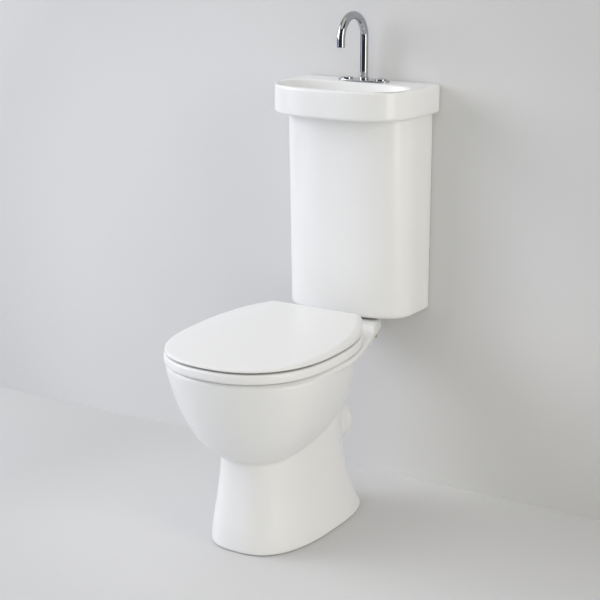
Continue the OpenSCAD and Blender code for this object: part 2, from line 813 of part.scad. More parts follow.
waste_tail_r = 16;
waste_flange_r = 26;
waste_thread_r = waste_hole_d / 2 - 1;

// Grid waste: a flange with slots, its threaded barrel and a tail into the tank.
module basin_waste() {
  color("silver")
  at(0, waste_d, 0) difference() {
    union() {
      translate([0, 0, bowl_floor_z])
        cylinder(h = 2.5, r1 = waste_flange_r, r2 = waste_flange_r - 2, $fn = 96);
      translate([0, 0, bowl_floor_z - 26]) cylinder(h = 26, r = waste_thread_r, $fn = 96);
      translate([0, 0, bowl_floor_z - 42]) cylinder(h = 16, r = waste_tail_r, $fn = 96);
    }
    translate([0, 0, bowl_floor_z - 43]) cylinder(h = 20, r = waste_tail_r - 2, $fn = 96);
    translate([0, 0, bowl_floor_z - 24]) cylinder(h = 23.5, r = waste_thread_r - 3, $fn = 96);
    for (a = [0:60:300]) rotate([0, 0, a]) translate([9, 0, bowl_floor_z - 2])
      cylinder(h = 6, r = 3, $fn = 32);
    translate([0, 0, bowl_floor_z - 2]) cylinder(h = 6, r = 3, $fn = 32);
  }
}

module waste_gasket() {
  color("dimgray")
  at(0, waste_d, bowl_floor_z - basin_bowl_wall - 3) tube(waste_thread_r + 4.5, waste_thread_r + 0.1, 3);
}

module waste_nut() {
  color("gainsboro")
  at(0, waste_d, bowl_floor_z - basin_bowl_wall - 10) difference() {
    cylinder(h = 7, r = waste_thread_r + 4.5, $fn = 12);
    translate([0, 0, -1]) cylinder(h = 9, r = waste_thread_r + 0.1, $fn = 96);
  }
}

// ---------------------------------------------------------------- spout and plate

tap_tail_d = 14;
tap_tail_l = 52;
guide_r = 15;
guide_flange_r = 17;
guide_flange_t = 2;

// Oval plate with a low rim, one hole for the spout and one for each button.
module tap_plate() {
  end_r = plate_w / 2;
  color("silver")
  at(0, spout_d, basin_top) difference() {
    union() {
      plate_blank(end_r, plate_t - 1);
      translate([0, 0, plate_t - 1]) plate_blank(end_r - 0.8, 1);
    }
    translate([0, 0, -1]) cylinder(h = plate_t + 2, d = tap_tail_d + 0.6, $fn = 64);
    both(button_half) {
      translate([0, 0, -1]) cylinder(h = plate_t + 2, r = button_d / 2 + gap, $fn = 96);
      translate([0, 0, -1]) cylinder(h = guide_flange_t + 1.1, r = guide_flange_r + 0.2, $fn = 96);
    }
  }
}

// An oval made of two end arcs and a wide middle.
module plate_blank(r, h) {
  side_r = 170;
  intersection() {
    translate([-plate_l / 2 + plate_w / 2 - r, -r, 0]) cube([plate_l - plate_w + 2 * r, 2 * r, h]);
    union() {
      both(plate_l / 2 - plate_w / 2 + 5) cylinder(h = h, r = r - 5, $fn = 96);
      intersection() {
        translate([0, side_r - r, 0]) cylinder(h = h, r = side_r, $fn = 180);
        translate([0, r - side_r, 0]) cylinder(h = h, r = side_r, $fn = 180);
        translate([-plate_l / 2 + plate_w / 2 - 5, -r, 0]) cube([plate_l - plate_w + 10, 2 * r, h]);
      }
    }
  }
}

// Gooseneck tube with its collar and threaded tail.
module tap_spout() {
  r = spout_od / 2;
  color("silver")
  difference() {
    union() {
      at(0, spout_d, plate_top) cylinder(h = 5, r = r + 1.6, $fn = 96);
      at(0, spout_d, plate_top) cylinder(h = spring_z - plate_top, r = r, $fn = 96);
      at(0, spout_d + spout_bend, spring_z) rotate([90, 0, 90])
        rotate_extrude(angle = 180, $fn = 96) translate([spout_bend, 0]) circle(r = r, $fn = 64);
      at(0, spout_d + 2 * spout_bend, spring_z - spout_drop) cylinder(h = spout_drop, r = r, $fn = 96);
      at(0, spout_d, plate_top - tap_tail_l) cylinder(h = tap_tail_l, d = tap_tail_d, $fn = 96);
    }
    at(0, spout_d, plate_top - tap_tail_l - 1) cylinder(h = tap_tail_l + 2, r = 4.5, $fn = 64);
    at(0, spout_d, plate_top + 1) cylinder(h = spring_z - plate_top - 1, d = spout_id, $fn = 64);
    at(0, spout_d + spout_bend, spring_z) rotate([90, 0, 90])
      rotate_extrude(angle = 180, $fn = 96) translate([spout_bend, 0]) circle(d = spout_id, $fn = 64);
    at(0, spout_d + 2 * spout_bend, spring_z - spout_drop - 1)
      cylinder(h = spout_drop + 1, d = spout_id, $fn = 64);
  }
}

// Flow straightener pressed into the end of the spout.
module spout_outlet() {
  color("dimgray")
  at(0, spout_d + 2 * spout_bend, spring_z - spout_drop + 1) difference() {
    cylinder(h = 9, d = spout_id - 0.1, $fn = 64);
    for (a = [0:60:300]) rotate([0, 0, a]) translate([3.8, 0, -1]) cylinder(h = 11, r = 1.3, $fn = 24);
    translate([0, 0, -1]) cylinder(h = 11, r = 1.5, $fn = 24);
  }
}

module tap_washer() {
  color("dimgray") at(0, spout_d, deck_z - 3) tube(14, tap_tail_d / 2 + 0.1, 3);
}

module tap_back_nut() {
  color("goldenrod")
  at(0, spout_d, deck_z - 12) difference() {
    cylinder(h = 9, r = 13, $fn = 6);
    translate([0, 0, -1]) cylinder(h = 11, d = tap_tail_d + 0.2, $fn = 64);
  }
}

// Hose that feeds the spout from the fill valve, bent twice in one upright plane.
hose_run = norm([fill_x, fill_d - spout_d]);
hose_bend = hose_run / 2;
hose_turn = atan2(-(fill_d - spout_d), -fill_x);
hose_top = plate_top - tap_tail_l;
hose_low = fill_head_z + fill_head_h + fill_tip_l;

// The ferrules cover the ends of each bend.
module spout_hose() {
  up = hose_top - hose_low - hose_run;
  color("lightgray")
  at(0, spout_d, hose_top - up) {
    translate([0, 0, 2]) cylinder(h = up - 2, r = hose_r, $fn = 48);
    translate([0, 0, -4]) cylinder(h = 12, r = hose_r + 1.5, $fn = 48);
    rotate([0, 0, hose_turn]) {
      translate([hose_bend, 0, 0]) rotate([90, 0, 0]) rotate([0, 0, 182])
        rotate_extrude(angle = 86, $fn = 96) translate([hose_bend, 0]) circle(r = hose_r, $fn = 48);
      translate([hose_bend - 6, 0, -hose_bend]) rotate([0, 90, 0])
        cylinder(h = 12, r = hose_r + 1.5, $fn = 48);
      translate([hose_bend, 0, -hose_run]) rotate([90, 0, 0]) rotate([0, 0, 2])
        rotate_extrude(angle = 86, $fn = 96) translate([hose_bend, 0]) circle(r = hose_r, $fn = 48);
      translate([hose_run, 0, -hose_run]) cylinder(h = 9, r = hose_r + 1.5, $fn = 48);
    }
  }
}

// ---------------------------------------------------------------- buttons

button_top = plate_top + button_proud;
button_h = 18;
button_r = button_d / 2;
guide_floor_z = basin_top - 44;
rocker_tip_r = 3;
rod_r = 3;
rod_end_z = rocker_z + rocker_tip_r + 0.4;

module button_cap() {
  difference() {
    union() {
      cylinder(h = button_h - 1.2, r = button_r, $fn = 96);
      translate([0, 0, button_h - 1.2])
        cylinder(h = 1.2, r1 = button_r, r2 = button_r - 1.2, $fn = 96);
    }
    translate([0, 0, -1]) cylinder(h = button_h - 2.5, r = button_r - 2.4, $fn = 96);
  }
}

module full_flush_button() {
  color("silver") at(button_half, spout_d, button_top - button_h) button_cap();
}

// The half-flush button carries a dished ring so that a finger can tell it apart.
module half_flush_button() {
  color("silver") at(-button_half, spout_d, button_top - button_h) difference() {
    button_cap();
    translate([0, 0, button_h - 0.6]) tube(button_r - 4, button_r - 5.5, 1);
  }
}

rod_top_z = button_top - 3.5;

module flush_rod(x) {
  color("gainsboro") at(x, spout_d, rod_end_z) {
    cylinder(h = rod_top_z - rod_end_z, r = rod_r, $fn = 48);
    translate([0, 0, rod_top_z - rod_end_z - 2]) cylinder(h = 2, r = 6, $fn = 48);
    cylinder(h = 3, r = rod_r + 1.5, $fn = 48);
  }
}

module full_flush_rod() {
  flush_rod(button_half);
}

module half_flush_rod() {
  flush_rod(-button_half);
}

// Coil of round wire that returns a button.
spring_r = 8;
wire_r = 0.8;
spring_low = guide_floor_z + 4;
spring_high = rod_top_z;

function helix_point(i, steps, turns) = let (
    a = 360 * turns * i / steps,
    rise = (spring_high - spring_low - 2 * wire_r - 0.2) * i / steps
  )
  [spring_r * cos(a), spring_r * sin(a), spring_low + wire_r + 0.1 + rise];

module coil(x) {
  steps = 60;
  sides = 6;
  rings = [for (i = [0:steps])
    let (p = helix_point(i, steps, 6), a = 360 * 6 * i / steps)
    [for (j = [0:sides - 1])
      let (t = -360 * j / sides)
      [p[0] + wire_r * cos(t) * cos(a), p[1] + wire_r * cos(t) * sin(a), p[2] + wire_r * sin(t)]]];
  color("silver") at(x, spout_d, 0) loft(rings);
}

module full_button_spring() {
  coil(button_half);
}

module half_button_spring() {
  coil(-button_half);
}

// Plastic sleeves that guide the buttons, with a flange under the plate.
module button_guides() {
  color("gainsboro")
  both(button_half) at(0, spout_d, guide_floor_z) difference() {
    union() {
      cylinder(h = basin_top - guide_floor_z + 0.1, r = guide_r, $fn = 96);
      translate([0, 0, basin_top - guide_floor_z])
        cylinder(h = guide_flange_t, r = guide_flange_r, $fn = 96);
    }
    translate([0, 0, 4]) cylinder(h = 100, r = button_r + gap, $fn = 96);
    translate([0, 0, -1]) cylinder(h = 20, r = rod_r + 1.5 + gap, $fn = 48);
  }
}

module guide_nuts() {
  color("gainsboro")
  both(button_half) at(0, spout_d, deck_z - 6) tube(18, guide_r + 0.1, 6);
}

// ---------------------------------------------------------------- flush valve

shank_r = 30;
port_r = 24;
flush_nut_r = 38;
flush_nut_h = 10;
valve_flange_r = 37;
tower_r = 30;
valve_seat_z = tank_floor_z + 9;
tower_top = tank_floor_z + 150;
guide_ring_h = 8;
stem_r = overflow_od / 2;
arm_rear = rocker_d - spout_d;
arm_front = outlet_d - rocker_d;
shaft_r = 3;
post_half = 5;

// Seat, windowed tower and the bracket that carries the rocker shafts.
module flush_valve_body() {
  color("gainsboro")
  difference() {
    union() {
      at(0, outlet_d, tank_z - 14) cylinder(h = tank_floor + 14, r = shank_r, $fn = 96);
      at(0, outlet_d, tank_floor_z + 3) cylinder(h = 5, r = valve_flange_r, $fn = 96);
      at(0, outlet_d, tank_floor_z) cylinder(h = tower_top - tank_floor_z, r = tower_r, $fn = 96);
      at(0, outlet_d, tower_top - 1) cylinder(h = guide_ring_h, r = tower_r, $fn = 96);
      at(-post_half, rocker_d + 7, tower_top - 14) cube([2 * post_half, 14, rocker_z + 21 - tower_top]);
      at(-post_half, outlet_d - 14, tower_top) cube([2 * post_half, 16, 10]);
    }
    at(0, outlet_d, tank_z - 20) cylinder(h = tank_floor + 40, r = port_r, $fn = 96);
    at(0, outlet_d, valve_seat_z) cylinder(h = tower_top - valve_seat_z - 1, r = tower_r - 2.5, $fn = 96);
    at(0, outlet_d, tower_top - 20) cylinder(h = 40, r = stem_r + 0.4, $fn = 96);
    // four windows that let the water reach the seat
    for (a = [45:90:315]) at(0, outlet_d, valve_seat_z + 4) rotate([0, 0, a])
      translate([0, -13, 0]) cube([40, 26, 66]);
    at(0, outlet_d, tower_top - 30) rotate([0, 0, 45]) translate([-40, -9, 0]) cube([80, 18, 16]);
    rod_x(-post_half - 1, post_half + 1, rocker_d, rocker_z, shaft_r + 0.02);
    at(link_x, outlet_d, tower_top - 5) cylinder(h = 30, r = link_r + 0.3, $fn = 32);
  }
}

module flush_valve_washer() {
  color("dimgray") at(0, outlet_d, tank_floor_z) tube(valve_flange_r, tower_r + 0.1, 3);
}

module flush_valve_nut() {
  color("gainsboro")
  at(0, outlet_d, tank_z - flush_nut_h) difference() {
    cylinder(h = flush_nut_h, r = flush_nut_r, $fn = 12);
    translate([0, 0, -1]) cylinder(h = flush_nut_h + 2, r = shank_r + 0.1, $fn = 96);
  }
}

collar_r = 20.5;
collar_z = rocker_z + rocker_tip_r + 0.4;
seal_z = valve_seat_z + 0.2;

// Overflow tube that lifts the seal; its collar rests over the rocker.
module overflow_stem() {
  color("whitesmoke")
  at(0, outlet_d, 0) difference() {
    union() {
      translate([0, 0, seal_z + 3]) cylinder(h = overflow_z - seal_z - 3, r = stem_r, $fn = 96);
      translate([0, 0, seal_z + 3]) cylinder(h = 5, r = tower_r - 4, $fn = 96);
      translate([0, 0, collar_z]) cylinder(h = 4, r = collar_r, $fn = 96);
    }
    translate([0, 0, seal_z - 1]) cylinder(h = overflow_z, r = stem_r - 2, $fn = 96);
  }
}

module flush_seal() {
  color("dimgray") at(0, outlet_d, seal_z) tube(tower_r - 3.2, stem_r - 2, 3);
}

// Rocker: pushed down at the back by a button's rod, it lifts with its front arm.
module rocker(x_rod, x_lift, hub_from, hub_to) {
  side = sign(x_rod);
  color("lightgray")
  difference() {
    union() {
      rod_x(min(side * hub_from, side * hub_to), max(side * hub_from, side * hub_to),
        rocker_d, rocker_z, 6);
      at(x_rod - 2.5, rocker_d, rocker_z - 2.5) cube([5, arm_rear, 4.3]);
      rod_x(x_rod - 2.5, x_rod + 2.5, spout_d, rocker_z, rocker_tip_r);
      at(x_lift - 2, rocker_d + arm_front, rocker_z - 2.5) cube([4, arm_front, 4.3]);
      rod_x(x_lift - 2, x_lift + 2, rocker_d + arm_front, rocker_z, rocker_tip_r);
    }
    rod_x(-60, 60, rocker_d, rocker_z, shaft_r + 0.05);
  }
}

module full_flush_rocker() {
  rocker(button_half, 17, post_half + gap, button_half + 2.5);
}

module half_flush_rocker() {
  rocker(-button_half, link_x - link_arm, post_half + gap, button_half + 2.5);
}

link_x = -24.5;
// Distance from the link to the arm beside it, which lifts it by its ear
link_arm = 5.5;
link_r = 2.5;
link_head_z = rocker_z + rocker_tip_r + 0.4;

// Link that frees the latch of the half flush inside the tower.
module half_flush_link() {
  color("whitesmoke") at(link_x, outlet_d, 0) {
    translate([0, 0, tower_top - 20]) cylinder(h = link_head_z - tower_top + 20, r = link_r, $fn = 32);
    translate([0, 0, link_head_z]) cylinder(h = 3, r = link_r + 0.7, $fn = 32);
    translate([-link_arm - 2.5, -3, link_head_z]) cube([link_arm + 2.5, 6, 3]);
  }
}

module rocker_pins() {
  color("silver") {
    rod_x(-button_half - 5, button_half + 5, rocker_d, rocker_z, shaft_r);
    both_hands() rod_x(button_half + 3, button_half + 5, rocker_d, rocker_z, 5);
  }
}

// ---------------------------------------------------------------- fill valve

riser_r = 12;
float_r = 27;
float_h = 60;
float_low = fill_head_z - float_h - float_travel - 4;
lever_out = 16;
lever_x = -fill_x + fill_head_r + lever_out;
lever_arm = 26;
lever_tail = 13.5;
lever_tail_h = 14;
lever_z = fill_head_z + 28;
lever_tip_r = 2.5;
lever_pin_r = 1.5;

module fill_valve() {
  color("whitesmoke")
  difference() {
    union() {
      at(-fill_x, fill_d, tank_z - inlet_l) cylinder(h = inlet_l, d = inlet_d, $fn = 96);
      at(-fill_x, fill_d, tank_z - inlet_nut_h - 1)
        cylinder(h = inlet_nut_h + 1 + tank_floor, r = inlet_shank_r, $fn = 96);
      at(-fill_x, fill_d, tank_floor_z + 3) cylinder(h = 5, r = 17, $fn = 96);
      at(-fill_x, fill_d, tank_floor_z) cylinder(h = 10, r = inlet_shank_r, $fn = 96);
      at(-fill_x, fill_d, tank_floor_z + 8)
        cylinder(h = fill_head_z - tank_floor_z - 8, r = riser_r, $fn = 96);
      at(-fill_x, fill_d, float_low - 5) cylinder(h = 4.8, r = 17, $fn = 96);
      at(-fill_x, fill_d, fill_head_z) cylinder(h = fill_head_h, r = fill_head_r, $fn = 96);
      at(-fill_x, fill_d, fill_head_z + fill_head_h - 1)
        cylinder(h = fill_tip_l + 1, r = hose_r, $fn = 64);
      for (s = [-7, 4]) at(-fill_x, fill_d - s, lever_z - 5) cube([fill_head_r + lever_out + 4, 3, 10]);
    }
    at(-fill_x, fill_d, tank_z - inlet_l - 1)
      cylinder(h = fill_head_z - tank_z + inlet_l, r = 7, $fn = 64);
    at(-fill_x, fill_d, fill_head_z + 10)
      cylinder(h = fill_head_h + fill_tip_l, r = hose_r - 1.8, $fn = 64);
    at(lever_x, fill_d + 20, lever_z) rotate([-90, 0, 0])
      cylinder(h = 40, r = lever_pin_r + 0.02, $fn = 32);
  }
}

module fill_valve_washer() {
  color("dimgray") at(-fill_x, fill_d, tank_floor_z) tube(17, inlet_shank_r + 0.1, 3);
}

module inlet_nut() {
  color("gainsboro")
  at(-fill_x, fill_d, tank_z - inlet_nut_h) difference() {
    cylinder(h = inlet_nut_h, r = 17, $fn = 6);
    translate([0, 0, -1]) cylinder(h = inlet_nut_h + 2, r = inlet_shank_r + 0.1, $fn = 96);
  }
}

// Float cup that rides on the riser, with the push rod that works the lever.
module fill_float() {
  color("cornflowerblue")
  difference() {
    union() {
      at(-fill_x, fill_d, float_low) cylinder(h = float_h, r = float_r, $fn = 96);
      at(-fill_x, fill_d + 3, float_low + float_h - 5) cube([lever_x + fill_x + lever_arm + 3, 6, 5]);
      at(lever_x + lever_arm, fill_d, float_low + float_h - 5)
        cylinder(h = lever_z - lever_tip_r - 0.4 - float_low - float_h + 5, r = 2, $fn = 32);
    }
    at(-fill_x, fill_d, float_low - 1) cylinder(h = float_h + 2, r = riser_r + gap, $fn = 96);
    at(-fill_x, fill_d, float_low - 1) tube(float_r - 2.5, riser_r + 3, float_h - 2);
  }
}

module fill_lever() {
  color("gainsboro")
  difference() {
    union() {
      at(lever_x, fill_d + 3.6, lever_z) rotate([-90, 0, 0]) cylinder(h = 7.2, r = 4, $fn = 48);
      at(lever_x, fill_d + 2.5, lever_z - 1.5) cube([lever_arm, 5, 3]);
      at(lever_x + lever_arm, fill_d + 2.5, lever_z) rotate([-90, 0, 0])
        cylinder(h = 5, r = lever_tip_r, $fn = 32);
      at(lever_x - lever_tail, fill_d + 2.5, lever_z - lever_tail_h / 2)
        cube([lever_tail - 1, 5, lever_tail_h]);
    }
    at(lever_x, fill_d + 20, lever_z) rotate([-90, 0, 0])
      cylinder(h = 40, r = lever_pin_r + 0.05, $fn = 32);
  }
}

module fill_lever_pin() {
  color("silver")
  at(lever_x, fill_d + 8, lever_z) rotate([-90, 0, 0]) cylinder(h = 16, r = lever_pin_r, $fn = 32);
}

// ---------------------------------------------------------------- nodes

pan();
cistern_tank();
basin();
seat();
lid();
hinge_posts();
hinge_pins();
hinge_bolts();
hinge_bushes();
hinge_nuts();
seat_buffers();
lid_buffers();
tap_plate();
tap_spout();
spout_outlet();
tap_washer();
tap_back_nut();
spout_hose();
full_flush_button();
half_flush_button();
full_flush_rod();
half_flush_rod();
full_button_spring();
half_button_spring();
button_guides();
guide_nuts();
basin_waste();
waste_gasket();
waste_nut();
coupling_gasket();
cistern_bolts();
bolt_washers();
wing_nuts();
flush_valve_body();
flush_valve_washer();
flush_valve_nut();
overflow_stem();
flush_seal();
full_flush_rocker();
half_flush_rocker();
half_flush_link();
rocker_pins();
fill_valve();
fill_valve_washer();
inlet_nut();
fill_float();
fill_lever();
fill_lever_pin();
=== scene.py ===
# %% [markdown]
# # A toilet whose cistern lid is a hand basin
#
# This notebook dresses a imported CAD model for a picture. The china, the seat and
# the chrome that the eye rests on are rebuilt here as smooth meshes in the same
# places as the CAD solids, and the working parts inside keep their CAD shapes and
# only get finishes. Sizes are in metres. The floor is z = 0, the wall is a plane
# at +Y, and the user stands on the -Y side.

import json
import math

import bmesh
import bpy
import numpy as np
from mathutils import Matrix, Vector


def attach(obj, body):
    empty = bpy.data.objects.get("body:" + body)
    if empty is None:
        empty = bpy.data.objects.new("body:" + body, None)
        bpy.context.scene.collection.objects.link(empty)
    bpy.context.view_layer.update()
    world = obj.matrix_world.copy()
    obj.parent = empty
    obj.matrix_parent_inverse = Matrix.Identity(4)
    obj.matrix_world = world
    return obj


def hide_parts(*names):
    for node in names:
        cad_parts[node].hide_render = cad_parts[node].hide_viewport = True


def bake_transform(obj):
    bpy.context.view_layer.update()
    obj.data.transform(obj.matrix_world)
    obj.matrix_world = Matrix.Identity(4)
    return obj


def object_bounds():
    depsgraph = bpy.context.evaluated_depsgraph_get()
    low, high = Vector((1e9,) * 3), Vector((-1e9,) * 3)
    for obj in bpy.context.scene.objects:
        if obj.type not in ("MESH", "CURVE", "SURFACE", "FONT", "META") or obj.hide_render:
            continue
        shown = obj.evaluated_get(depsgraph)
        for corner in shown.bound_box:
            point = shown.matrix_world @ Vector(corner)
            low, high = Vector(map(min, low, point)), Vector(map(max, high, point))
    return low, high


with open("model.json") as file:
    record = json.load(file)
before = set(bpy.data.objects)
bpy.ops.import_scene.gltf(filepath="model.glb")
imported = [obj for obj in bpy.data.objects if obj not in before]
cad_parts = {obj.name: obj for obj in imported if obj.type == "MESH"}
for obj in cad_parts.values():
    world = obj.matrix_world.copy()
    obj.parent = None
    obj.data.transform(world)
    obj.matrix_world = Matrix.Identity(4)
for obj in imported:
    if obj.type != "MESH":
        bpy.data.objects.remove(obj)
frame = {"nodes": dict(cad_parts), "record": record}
cad_low, cad_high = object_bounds()
record = frame["record"]
WALL = cad_high.y
print("CAD box, mm:", [round(v * 1000) for v in (cad_high - cad_low)], "wall at y =", round(WALL, 4))

# %% [markdown]
# ## Camera
#
# The view was solved from straight edges in the photograph: the line between wall
# and floor, and the long edges of cistern and basin. It looks from the front right,
# about 15 degrees down, through a long lens, so the verticals hardly converge.

# %% Camera
camera = bpy.data.objects.new("camera", bpy.data.cameras.new("camera"))
bpy.context.scene.collection.objects.link(camera)
camera.data.sensor_width = 36.0
camera.data.lens = 91.55
turn = Matrix.Rotation(math.radians(31.89), 4, "Z")
tilt = Matrix.Rotation(math.radians(90 - 15.08), 4, "X")
camera.matrix_world = Matrix.Translation((1.64698, -2.61806, 1.32081)) @ turn @ tilt
bpy.context.scene.camera = camera
print("camera stands", round(camera.location.length, 2), "m from the origin")

# %% [markdown]
# ## Small tools for making meshes
#
# Sanitary ware is cast in moulds, so nearly every surface is a stack of closed
# outlines that change slowly from one level to the next. Skinning such a stack with
# quads gives clean, even faces that take a reflection well. Two shapes of outline
# are enough: an egg, made from powers of sine and cosine, and a D with a flat back.

# %% Places and outlines
def place(x, d, z):
    """A point from millimetres: x to the right, d in front of the wall, z up."""
    return (x / 1000, WALL - d / 1000, z / 1000)


def power(v, p):
    """A power that keeps the sign of its number."""
    return math.copysign(abs(v) ** p, v)


def egg(half, front, middle, back, n, z, count=96):
    """Egg outline, anticlockwise from above; n = 2 is an ellipse, more is squarer."""
    ring = []
    for i in range(count):
        t = 2 * math.pi * i / count
        c, s = power(math.cos(t), 2 / n), power(math.sin(t), 2 / n)
        d = middle - s * ((middle - back) if s >= 0 else (front - middle))
        ring.append(place(half * c, d, z))
    return ring


def smooth_rows(rows, steps):
    """More rows between the given ones, on a curve that doesn't overshoot."""
    rows = np.array(rows, float)
    key = rows[:, 0]
    slope = np.diff(rows, axis=0) / np.diff(key)[:, None]
    tangent = np.zeros_like(rows)
    tangent[0], tangent[-1] = slope[0], slope[-1]
    for i in range(1, len(rows) - 1):
        a, b = slope[i - 1], slope[i]
        same = a * b > 0
        tangent[i] = np.where(same, 2 * a * b / np.where(same, a + b, 1), 0)
    out = []
    for v in np.linspace(key[0], key[-1], steps):
        i = min(max(int(np.searchsorted(key, v, side="right")) - 1, 0), len(key) - 2)
        h = key[i + 1] - key[i]
        u = (v - key[i]) / h
        row = (
            (2 * u**3 - 3 * u**2 + 1) * rows[i]
            + (u**3 - 2 * u**2 + u) * h * tangent[i]
            + (3 * u**2 - 2 * u**3) * rows[i + 1]
            + (u**3 - u**2) * h * tangent[i + 1]
        )
        row[0] = v
        out.append(row)
    return out


def quarter(step, start=0):
    """Sine and cosine of the angles up to 90 degrees, for rounding an edge."""
    turns = [math.radians(a) for a in range(start, 91, step)]
    return [(math.sin(t), math.cos(t)) for t in turns]


print("an egg of 96 points starts at", egg(100, 300, 200, 100, 2, 0)[0])

# %% [markdown]
# A stack of outlines becomes a skin by joining each point to the same point of the
# next outline. All outlines of a stack therefore have the same number of points, in
# the same order. Blender then only has to turn the faces outwards.

# %% Skins
def skin(name, rings, closed=False):
    """A mesh over a stack of equal rings: capped at both ends, or closed in a loop."""
    mesh = bpy.data.meshes.new(name)
    n, m = len(rings[0]), len(rings)
    points = [p for ring in rings for p in ring]
    faces = []
    for i in range(m if closed else m - 1):
        k = (i + 1) % m
        for j in range(n):
            q = (j + 1) % n
            faces.append((i * n + j, i * n + q, k * n + q, k * n + j))
    if not closed:
        faces.append(tuple(range(n - 1, -1, -1)))
        faces.append(tuple((m - 1) * n + j for j in range(n)))
    mesh.from_pydata(points, [], faces)
    mesh.validate()
    obj = bpy.data.objects.new(name, mesh)
    bpy.context.scene.collection.objects.link(obj)
    work = bmesh.new()
    work.from_mesh(mesh)
    bmesh.ops.recalc_face_normals(work, faces=work.faces)
    work.to_mesh(mesh)
    work.free()
    return obj


print("skin ready")

# %% [markdown]
# A few more helpers clean a skin up. Holes are cut with Boolean modifiers and the
# exact solver, because many tools here share a flat face with the piece they cut. The
# modifiers are turned into plain mesh at once, so that no tool has to stay behind.

# %% Shading, cuts and joins
def soften(obj, degrees=35):
    """Smooth shading, kept crisp where faces meet at more than this angle."""
    obj.data.shade_smooth()
    obj.data.set_sharp_from_angle(angle=math.radians(degrees))
    return obj


def settle(obj):
    """Replaces the object's mesh by what its modifiers make of it."""
    graph = bpy.context.evaluated_depsgraph_get()
    made = bpy.data.meshes.new_from_object(obj.evaluated_get(graph))
    obj.modifiers.clear()
    obj.data = made
    return obj


def cut(obj, *tools, how="DIFFERENCE"):
    """Takes the tools away from the object, or adds them with how="UNION"."""
    for tool in tools:
        change = obj.modifiers.new("cut", "BOOLEAN")
        change.operation = how
        change.solver = "EXACT"
        change.object = tool
    settle(obj)
    for tool in tools:
        bpy.data.objects.remove(tool)
    return obj


def join(name, *parts):
    """One object that holds the meshes of several."""
    work = bmesh.new()
    for part in parts:
        work.from_mesh(part.data)
    mesh = bpy.data.meshes.new(name)
    work.to_mesh(mesh)
    work.free()
    for part in parts:
        bpy.data.objects.remove(part)
    obj = bpy.data.objects.new(name, mesh)
    bpy.context.scene.collection.objects.link(obj)
    return obj


print("soften, settle, cut and join ready")

# %% [markdown]
# Pins, bores and tubes come from a handful of simple shapes: a straight bar, a box, a
# turned profile, and a circle swept along a path in the plane of symmetry.

# %% Bars, boxes, turned and swept shapes
def drum(name, start, end, radius, count=64):
    """A straight round bar between two points given as (x, d, z) in millimetres."""
    a, b = Vector(place(*start)), Vector(place(*end))
    axis = (b - a).normalized()
    side = axis.orthogonal().normalized()
    other = axis.cross(side)
    turns = [2 * math.pi * j / count for j in range(count)]
    spokes = [(side * math.cos(t) + other * math.sin(t)) * radius / 1000 for t in turns]
    return skin(name, [[end_point + spoke for spoke in spokes] for end_point in (a, b)])


def block(name, low, high):
    """A box between two corners given as (x, d, z) in millimetres."""
    (x0, d0, z0), (x1, d1, z1) = low, high
    base = [(x0, d0), (x1, d0), (x1, d1), (x0, d1)]
    return skin(name, [[place(x, d, z) for x, d in base] for z in (z0, z1)])


def lathe(name, centre, profile, count=96):
    """Turns a profile of (radius, z) in millimetres about an upright axis at (x, d)."""
    x, d = centre
    rings = []
    for r, z in profile:
        turns = [2 * math.pi * j / count for j in range(count)]
        rings.append([place(x + r * math.cos(t), d - r * math.sin(t), z) for t in turns])
    return skin(name, rings)


def arc(d, z, r, start, end, steps):
    """Points (d, z) on an arc about (d, z), between two angles in degrees."""
    angles = [math.radians(start + (end - start) * i / steps) for i in range(steps + 1)]
    return [(d + r * math.cos(a), z + r * math.sin(a)) for a in angles]


def sweep(path, radius, count):
    """Rings of a round tube along (d, z) points; the radius may change from point to point."""
    rings = []
    for i, (d, z) in enumerate(path):
        before = np.array(path[max(i - 1, 0)])
        after = np.array(path[min(i + 1, len(path) - 1)])
        along = (after - before) / np.linalg.norm(after - before)
        r = radius[i] if isinstance(radius, list) else radius
        ring = []
        for j in range(count):
            t = 2 * math.pi * j / count
            off = r * math.sin(t)
            ring.append(place(r * math.cos(t), d - off * along[1], z + off * along[0]))
        rings.append(ring)
    return rings


print("shapes ready: drum, block, lathe, arc, sweep")

# %% [markdown]
# Some places belong to several pieces at once: a hinge pin runs through the seat, the
# lid and the pan's posts, and a bolt through cistern and pan. Naming them once keeps
# the holes in line. All are in millimetres, from the middle, the wall or the floor.

# %% Places that several pieces share
HINGE_D, HINGE_Z = 237, 411.5  # the axis that seat and lid turn on
ANCHOR_X = 77.5  # the hinge posts' anchors in the pan
BOLT_X, BOLT_D = 68, 112  # the two bolts between cistern and pan
FLUSH_D = 90  # the hole that the flush water comes through
SPIGOT_Z = 179  # the waste spigot's centre line
SPOUT_D = 37.5  # the spout and its plate on the basin's ledge
BUTTON_X = 42  # the flush buttons, to each side of the spout
print("hinge axis", HINGE_D, "mm from the wall and", HINGE_Z, "mm up")

# %% [markdown]
# ## The pan
#
# A cast pan has no corners: bowl, foot, rim and the neck under the cistern flow into
# each other. Modelling those blends by hand is slow, so each part is first made as a
# simple stack of outlines. A voxel remesh then melts them into one skin, and a little
# smoothing follows, much as wet clay is sponged where parts are stuck together.

# %% The outside of the bowl
RIM_TOP, RIM_HALF = 398.0, 171.3
BOWL_FRONT, BOWL_REAR, BOWL_DEEP = 155, 308, 207
FULLNESS = 1 / 3.15


def bowl_ring(t):
    """The bowl at a share t of its depth; its back stays full for longer than its front."""
    front_share = (1 - t**1.32) ** FULLNESS
    rear_share = (1 - t**3.41) ** FULLNESS
    middle = 499 - 18.8 * t
    front, rear = middle + BOWL_FRONT * front_share, middle - BOWL_REAR * rear_share
    return egg(RIM_HALF * front_share, front, middle, rear, 2.1, RIM_TOP - 6 - BOWL_DEEP * t, 128)


